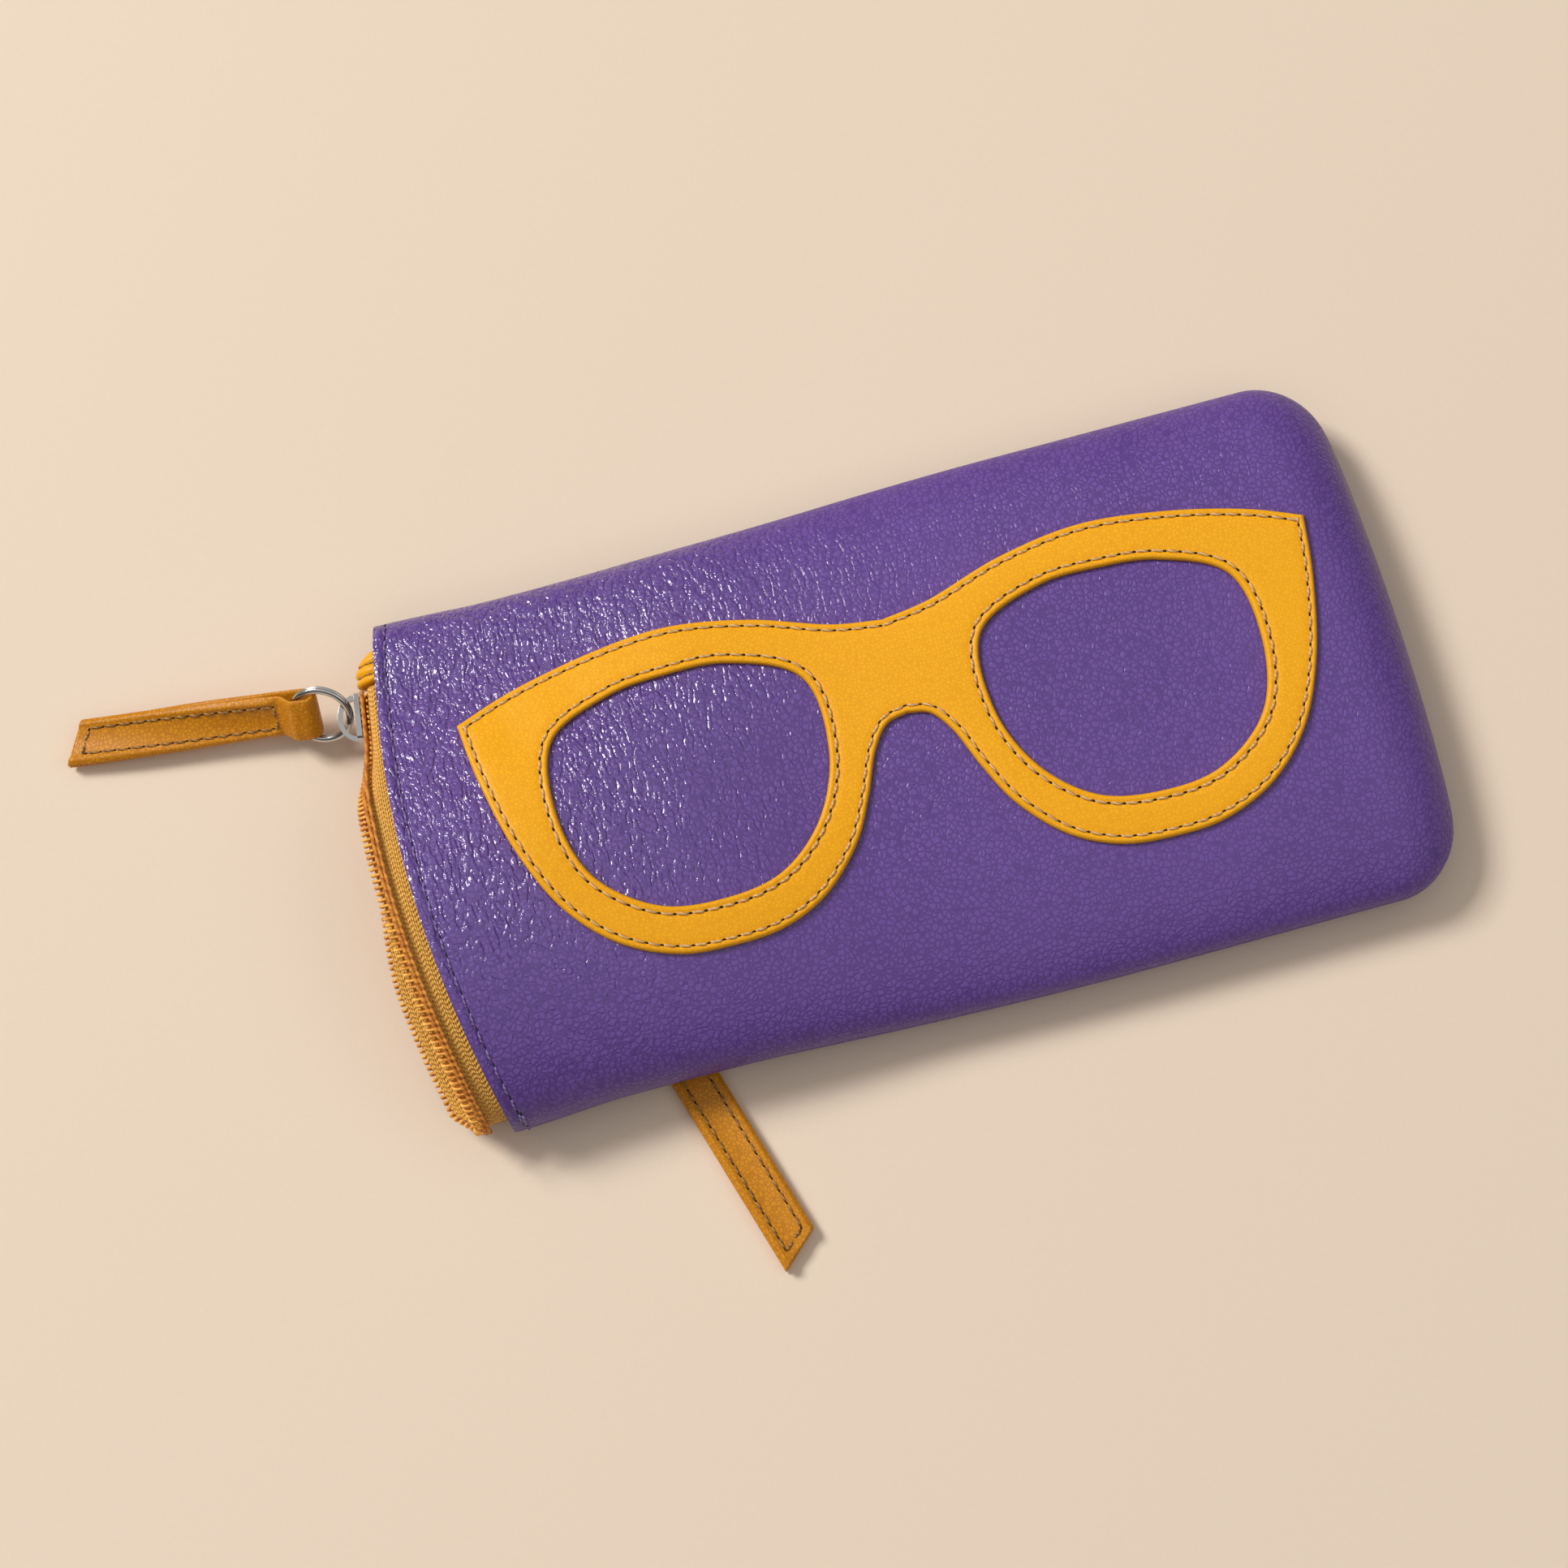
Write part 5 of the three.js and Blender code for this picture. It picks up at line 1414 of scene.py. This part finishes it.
@dataclass
class PocketZip:
    """The shut zip of the back pocket, seen through the window in the back panel."""

    finishes: Finishes
    x: float = -60.2
    tape_z: float = 6.8
    tape: float = 0.7
    half: float = 39
    width: float = 10
    slider_y: float = -33.2
    coil_pitch: float = 1.18

    def near(self, y: np.ndarray) -> np.ndarray:
        """The strips' distance from the middle: they part at the slider's divider."""
        divider = self.slider_y - 4.5 + 2.3
        return GAP / 2 + 0.5 * (1 - smoothstep(y, divider, divider + 3))

    def tape_surface(self, side: int) -> Surface:
        """One tape as a flat woven strip."""
        y = np.linspace(-self.half - 2, self.half + 2, 120)[:, None]
        share = np.linspace(0, 1, 12)[None, :]
        across = self.near(y) + share * (self.width - self.near(y))
        x, y = self.x + side * across, y + 0 * across
        faces = [np.stack([x, y, self.tape_z + h + 0 * across], axis=-1) for h in (-0.35, 0.35)]
        return shell(*faces, None, np.stack([y, across], axis=-1))

    def coil(self, side: int) -> Surface:
        """One side's coil: loops from the middle outwards, the two sides half a pitch apart."""
        y = np.arange(-self.half + 0.8, self.half - 0.8, self.coil_pitch)[:, None]
        y = y + (side > 0) * self.coil_pitch / 2
        turn = np.linspace(-np.pi / 2, np.pi / 2, 7)
        out = np.concatenate([[2.1, 1.2], 0.45 - 0.5 * np.cos(turn), [1.2, 2.1]])[None, :]
        z = self.tape_z - 0.35 - np.concatenate([[1.1, 1.1], 0.7 - 0.4 * np.sin(turn), [0.3, 0.3]])[None, :]
        across = self.near(y) + out - 0.1
        path = np.stack([self.x + side * across, y + 0 * across, z + 0 * across], axis=-1)
        up = np.broadcast_to(np.array([0.0, 1.0, 0.0]), path.shape)
        return wires(path, up, 0.25, 6)

    def cords(self, side: int) -> Surface:
        """Two twisted cords that sew one side's coil down."""
        y = np.linspace(-self.half + 0.6, self.half - 0.6, 260)[None, :]
        parts = []
        for off in (1.45, 2.15):
            x = self.x + side * (self.near(y) + off)
            path = np.stack([x, y, np.full_like(y, self.tape_z - 1.35)], axis=-1)
            swell = 0.36 * (1 + 0.18 * np.cos(2 * np.pi * y / self.coil_pitch))
            parts.append(wires(path, np.broadcast_to(np.array([0.0, 0.0, -1.0]), path.shape), swell, 8))
        return Surface.joined(parts)

    def build(self) -> None:
        """Makes both tapes, coils and pairs of cords."""
        for side, word in ((-1, "outer"), (1, "inner")):
            parts = self.tape_surface(side), self.coil(side), self.cords(side)
            dress_zip(f"pocket_zip_{word}", self.finishes, *parts)


# ---- Sliders, rings and pull tabs ----------------------------------------------------------------


@dataclass(frozen=True)
class RingPlace:
    """Where a split ring lies: it leaves a hole in a direction, tilted about that direction."""

    hole: tuple[float, float, float]
    direction: tuple[float, float, float]
    tilt: float
    radius: float = 5.55

    def axes(self) -> tuple[np.ndarray, np.ndarray, np.ndarray, np.ndarray]:
        """The ring's outward, tangent and normal directions, and its centre."""
        outward = unit(np.array(self.direction, float))
        level = -unit(np.cross([0.0, 0.0, 1.0], outward))
        up = np.cross(level, outward)
        tilt = math.radians(self.tilt)
        tangent = level * math.cos(tilt) + up * math.sin(tilt)
        return outward, tangent, np.cross(outward, tangent), np.array(self.hole) + outward * self.radius

    def far_point(self, direction: np.ndarray) -> np.ndarray:
        """The ring's wire at the side that faces a direction."""
        _, _, normal, centre = self.axes()
        flat = unit(direction - normal * float(direction @ normal))
        return centre + flat * self.radius


@dataclass
class Pull:
    """A zip's slider, split ring and folded leather pull tab."""

    finishes: Finishes
    zip_name: str
    ring: RingPlace
    direction: tuple[float, float, float]
    cavity: float
    twist: float
    slant: float
    length: float = 47
    width: float = 8.6
    thick: float = 2.6
    layer: float = 0.95
    loop: float = 9.5
    wire_at: float = 5.3
    seam_from: float = 7.6
    seam: float = 1.95
    wire: float = 0.62

    def place(self, s: np.ndarray, q: np.ndarray, h: np.ndarray) -> np.ndarray:
        """Carries a tab's own point to the case: along the strap from its fold, across it, and up.

        The strap is twisted at the ring and flattens out towards its tip.
        """
        direction = np.array(self.direction, float)
        wire = self.ring.far_point(direction)
        along = unit(direction)
        across = np.cross([0.0, 0.0, 1.0], unit(np.array([along[0], along[1], 0.0])))
        up = np.cross(along, across)
        twist = math.radians(self.twist) * (1 - smoothstep(s, self.loop - 2, self.length))
        rise = h - (self.layer + self.cavity / 2)
        y = q * np.cos(twist) - rise * np.sin(twist)
        z = q * np.sin(twist) + rise * np.cos(twist)
        return wire + along * (s - self.wire_at)[..., None] + across * y[..., None] + up * z[..., None]

    def strap(self) -> Surface:
        """The folded strap: a section carried in from the tip, round the ring and back.

        The section is a flat strip with rounded edges. On the stitched part its upper face has a raised roll
        along each edge, and the tip is cut on a slant.
        """
        top = 2 * self.layer + self.cavity
        half = self.layer / 2
        flat = np.linspace(self.length, self.seam_from, 70)
        k = np.linspace(0, 1, 14)[1:]
        ease = smoothstep(k, 0, 1)
        rise = (self.thick - half) + (top - self.thick) * ease
        open_s = self.seam_from - 3.2 * k
        run = np.linspace(self.seam_from - 3.2, top * 0.45, 6)[1:]
        turn = np.linspace(np.pi / 2, 3 * np.pi / 2, 26)[1:]
        bend_s = top * 0.45 + (top * 0.45 - half) * np.cos(turn)
        bend_h = top / 2 + (top / 2 - half) * np.sin(turn)
        back = np.linspace(top * 0.45, self.length, 70)[1:]
        s = np.concatenate([flat, open_s, run, bend_s, back])
        level = np.full(len(flat), self.thick - half), np.full(len(run), top - half), np.full(len(back), half)
        h = np.concatenate([level[0], rise, level[1], bend_h, level[2]])
        order = np.arange(len(s))
        stuffed = (self.thick / 4 - half) * smoothstep(s, self.seam_from, self.seam_from + 4)
        lower = order >= len(s) - len(back)
        h = h + np.where(order < len(flat), -stuffed, np.where(lower, stuffed, 0))
        angle = np.linspace(0, 2 * np.pi, 36, endpoint=False)
        wide = np.sign(np.cos(angle)) * np.abs(np.cos(angle)) ** 0.35 * self.width / 2
        deep = np.sign(np.sin(angle)) * np.abs(np.sin(angle)) ** 0.6 * half
        tangent = unit(np.stack([np.gradient(s), np.gradient(h)], axis=1))
        normal = np.stack([tangent[:, 1], -tangent[:, 0]], axis=1)
        upper = (order < len(flat)).astype(float) * smoothstep(s, self.seam_from, self.seam_from + 2)
        from_edge = np.abs(wide) - self.width / 2
        roll, panel = 0.42 * bell(from_edge, -0.95, 0.55), -0.22 * bell(from_edge, -self.seam, 0.35)
        raised = np.where(deep > 0, roll + panel, 0)[None, :] * upper[:, None]
        tip = smoothstep(s, self.loop + 8, self.length)[:, None]
        shear = self.slant * wide[None, :] / self.width * tip
        off = deep[None, :] * (1 + stuffed / half)[:, None] + raised
        ss = s[:, None] + normal[:, :1] * off + shear
        hh = h[:, None] + normal[:, 1:] * off
        points = self.place(ss, np.broadcast_to(wide, ss.shape), hh)
        rows, sides = ss.shape
        ends = np.stack([np.arange(sides), np.arange(sides) + (rows - 1) * sides])
        return Surface(points.reshape(-1, 3), [grid_quads(rows, sides, wrap=True), ends], [0, 0])

    def stitches(self) -> Surface:
        """The stitch line round the flat part, just inside the rolled edge."""
        half = self.width / 2 - self.seam
        lean = self.slant * half / self.width
        tip, root = self.length - self.seam * 1.1, self.seam_from + 0.9
        start = [root, -half]
        corners = np.array([start, [tip - lean, -half], [tip + lean, half], [root, half], start])
        plan = even(corners, 0.4)
        lift = np.full(len(plan), self.thick - 0.08)
        path = self.place(plan[:, 0], plan[:, 1], lift)
        up = unit(self.place(plan[:, 0], plan[:, 1], lift + 1) - path)
        return StitchLine(2.7, 0.24, 0.74).surface(path, up, True)

    def ring_surface(self) -> Surface:
        """The split ring: a flattened wire that goes round twice, its two turns side by side."""
        outward, tangent, normal, centre = self.ring.axes()
        turn = np.linspace(0, 4 * np.pi, 150)
        rise = 0.33 * np.clip((turn - 2 * np.pi) / 0.6, -1, 1)
        round_once = np.cos(turn)[:, None] * outward + np.sin(turn)[:, None] * tangent
        path = centre + self.ring.radius * round_once + rise[:, None] * normal
        radial = unit(path - rise[:, None] * normal - centre)
        angle = np.linspace(0, 2 * np.pi, 12, endpoint=False)
        wide = np.broadcast_to(0.34 * np.cos(angle), (1, len(turn), 12))
        high = np.broadcast_to(self.wire * np.sin(angle), (1, len(turn), 12))
        return swept(path[None], radial[None], wide, high)

    def slider(self) -> None:
        """The slider: the CAD slider's own solid, with its edges rounded and polished."""
        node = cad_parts[f"{self.zip_name}_slider"]
        mesh = node.data.copy()
        mesh.materials.clear()
        work = bmesh.new()
        work.from_mesh(mesh)
        bmesh.ops.remove_doubles(work, verts=work.verts, dist=1e-6)
        bmesh.ops.dissolve_limit(work, angle_limit=math.radians(1), verts=work.verts, edges=work.edges)
        work.to_mesh(mesh)
        work.free()
        body = f"{self.zip_name}_slider"
        finish_piece(mesh, Dress(body + "_polished", body, "nickel", (self.finishes.nickel,), (body,), 0.22))

    def build(self) -> None:
        """Makes the slider, ring, strap and stitches."""
        f, z, threads = self.finishes, self.zip_name, (self.finishes.ochre_thread, self.finishes.painted_hole_shade)
        self.slider()
        ring = Dress(f"{z}_split_ring", f"{z}_ring", "nickel", (f.nickel,), (f"{z}_pull_ring",))
        make_piece(self.ring_surface(), ring)
        strap = Dress(f"{z}_pull_strap", f"{z}_tab", "ochre_leather", (f.ochre,), (f"{z}_pull_tab",))
        make_piece(self.strap(), strap)
        stitches = Dress(f"{z}_pull_stitches", f"{z}_tab", "ochre_thread", threads, (f"{z}_pull_thread",))
        make_piece(self.stitches(), stitches)


# ---- The studio ----------------------------------------------------------------------------------


@dataclass
class Studio:
    """The pale floor, the soft light and the camera, in metres."""

    target: tuple[float, float, float] = (-0.0237, 0.0014, 0.004)
    elevation: float = 79.0
    heading: float = 15.3
    frame_width: float = 0.2935
    lens: float = 100.0

    def camera(self) -> None:
        """Sets the camera above the case, turned so that the case lies slanted in the picture."""
        data = bpy.data.cameras.new("camera")
        data.lens = self.lens
        data.sensor_width = 36.0
        camera = bpy.data.objects.new("camera", data)
        bpy.context.scene.collection.objects.link(camera)
        turn, rise = math.radians(self.heading), math.radians(self.elevation)
        up = Vector((math.sin(turn), math.cos(turn), 0))
        back = -up * math.cos(rise) + Vector((0, 0, math.sin(rise)))
        distance = self.frame_width / data.sensor_width * data.lens
        camera.location = Vector(self.target) + back * distance
        right = Vector((math.cos(turn), -math.sin(turn), 0))
        above = back.cross(right)
        camera.matrix_world = self.basis(right, above, back, camera.location)
        bpy.context.scene.camera = camera

    @staticmethod
    def basis(right: Vector, above: Vector, back: Vector, place: Vector) -> Matrix:
        """A matrix from three directions and a place."""
        turn = Matrix((right, above, back)).transposed().to_4x4()
        return Matrix.Translation(place) @ turn

    def floor(self) -> None:
        """A plain pale floor."""
        s = Shader("pale_floor", 0.65)
        noise = s.noise(s.place(), 900.0, 3.0)
        s.set("Base Color", s.mix(noise, (0.81, 0.665, 0.525), (0.83, 0.685, 0.545)))
        s.relief(noise, 0.02)
        mesh = bpy.data.meshes.new("floor")
        half = 3.0
        corners = [(-half, -half, 0), (half, -half, 0), (half, half, 0), (-half, half, 0)]
        mesh.from_pydata(corners, [], [(0, 1, 2, 3)])
        mesh.materials.append(s.material)
        floor = bpy.data.objects.new("floor", mesh)
        bpy.context.scene.collection.objects.link(floor)

    @staticmethod
    def lamp(
        name: str, place: tuple[float, ...], size: float, power: float, colour: tuple[float, ...]
    ) -> None:
        """A square soft light aimed at the case.

        Args:
            name: Its name.
            place: Where it stands.
            size: The side of its square.
            power: Its power in watts.
            colour: The colour of its light.
        """
        data = bpy.data.lights.new(name, "AREA")
        data.size = size
        data.energy = power
        data.color = colour
        lamp = bpy.data.objects.new(name, data)
        lamp.location = place
        lamp.rotation_mode = "QUATERNION"
        lamp.rotation_quaternion = Vector(place).to_track_quat("Z", "Y")
        bpy.context.scene.collection.objects.link(lamp)

    def light(self) -> None:
        """A key light from the upper left of the picture, and a sky that is brightest overhead."""
        world = bpy.data.worlds.new("studio")
        world.use_nodes = True
        nodes, links = world.node_tree.nodes, world.node_tree.links
        split = nodes.new("ShaderNodeSeparateXYZ")
        links.new(nodes.new("ShaderNodeTexCoord").outputs["Generated"], split.inputs[0])
        sky = nodes.new("ShaderNodeValToRGB")
        links.new(split.outputs[2], sky.inputs[0])
        for at, value in ((0.22, 0.07), (0.5, 0.1), (0.72, 0.5)):
            stop = sky.color_ramp.elements.new(at)
            stop.color = (value, value, value, 1)
        for stop, value in ((sky.color_ramp.elements[0], 0.5), (sky.color_ramp.elements[-1], 0.6)):
            stop.color = (value, value, value, 1)
        nodes["Background"].inputs[0].default_value = (1.0, 0.98, 0.95, 1)
        links.new(sky.outputs[0], nodes["Background"].inputs[1])
        bpy.context.scene.world = world
        bpy.context.scene.view_settings.view_transform = "Standard"
        self.lamp("key", (-1.9, 1.82, 2.58), 1.1, 109.0, (1.0, 0.98, 0.95))
        self.lamp("fill", (0.9, -0.6, 1.2), 1.2, 1.5, (1.0, 0.98, 0.96))

    def build(self) -> None:
        """Sets up the camera, floor and lights."""
        self.camera()
        self.floor()
        self.light()


def main() -> None:
    """Builds the case's sub-assemblies in order."""
    logging.basicConfig(level=logging.INFO, format="%(message)s")
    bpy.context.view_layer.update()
    Studio().build()
    shape, finishes = CaseShape(), Finishes.made()
    CaseBody(shape, finishes).build()
    GlassesPatch(shape, finishes).build()
    MouthZip(shape, finishes).build()
    PocketZip(finishes).build()
    mouth_ring = RingPlace((-98.622, 34.194, 9.155), (-0.936, 0.341, -0.087), 48)
    Pull(finishes, "mouth", mouth_ring, (-0.986, 0.164, -0.1), 3.3, -43, 3.3).build()
    pocket_ring = RingPlace((-60.2, -33.2, 2.05), (0.58, -0.81, -0.01), 0)
    Pull(finishes, "pocket", pocket_ring, (0.28, -0.96, 0), 1.9, 0, -4.3).build()


if __name__ == "__main__":
    main()
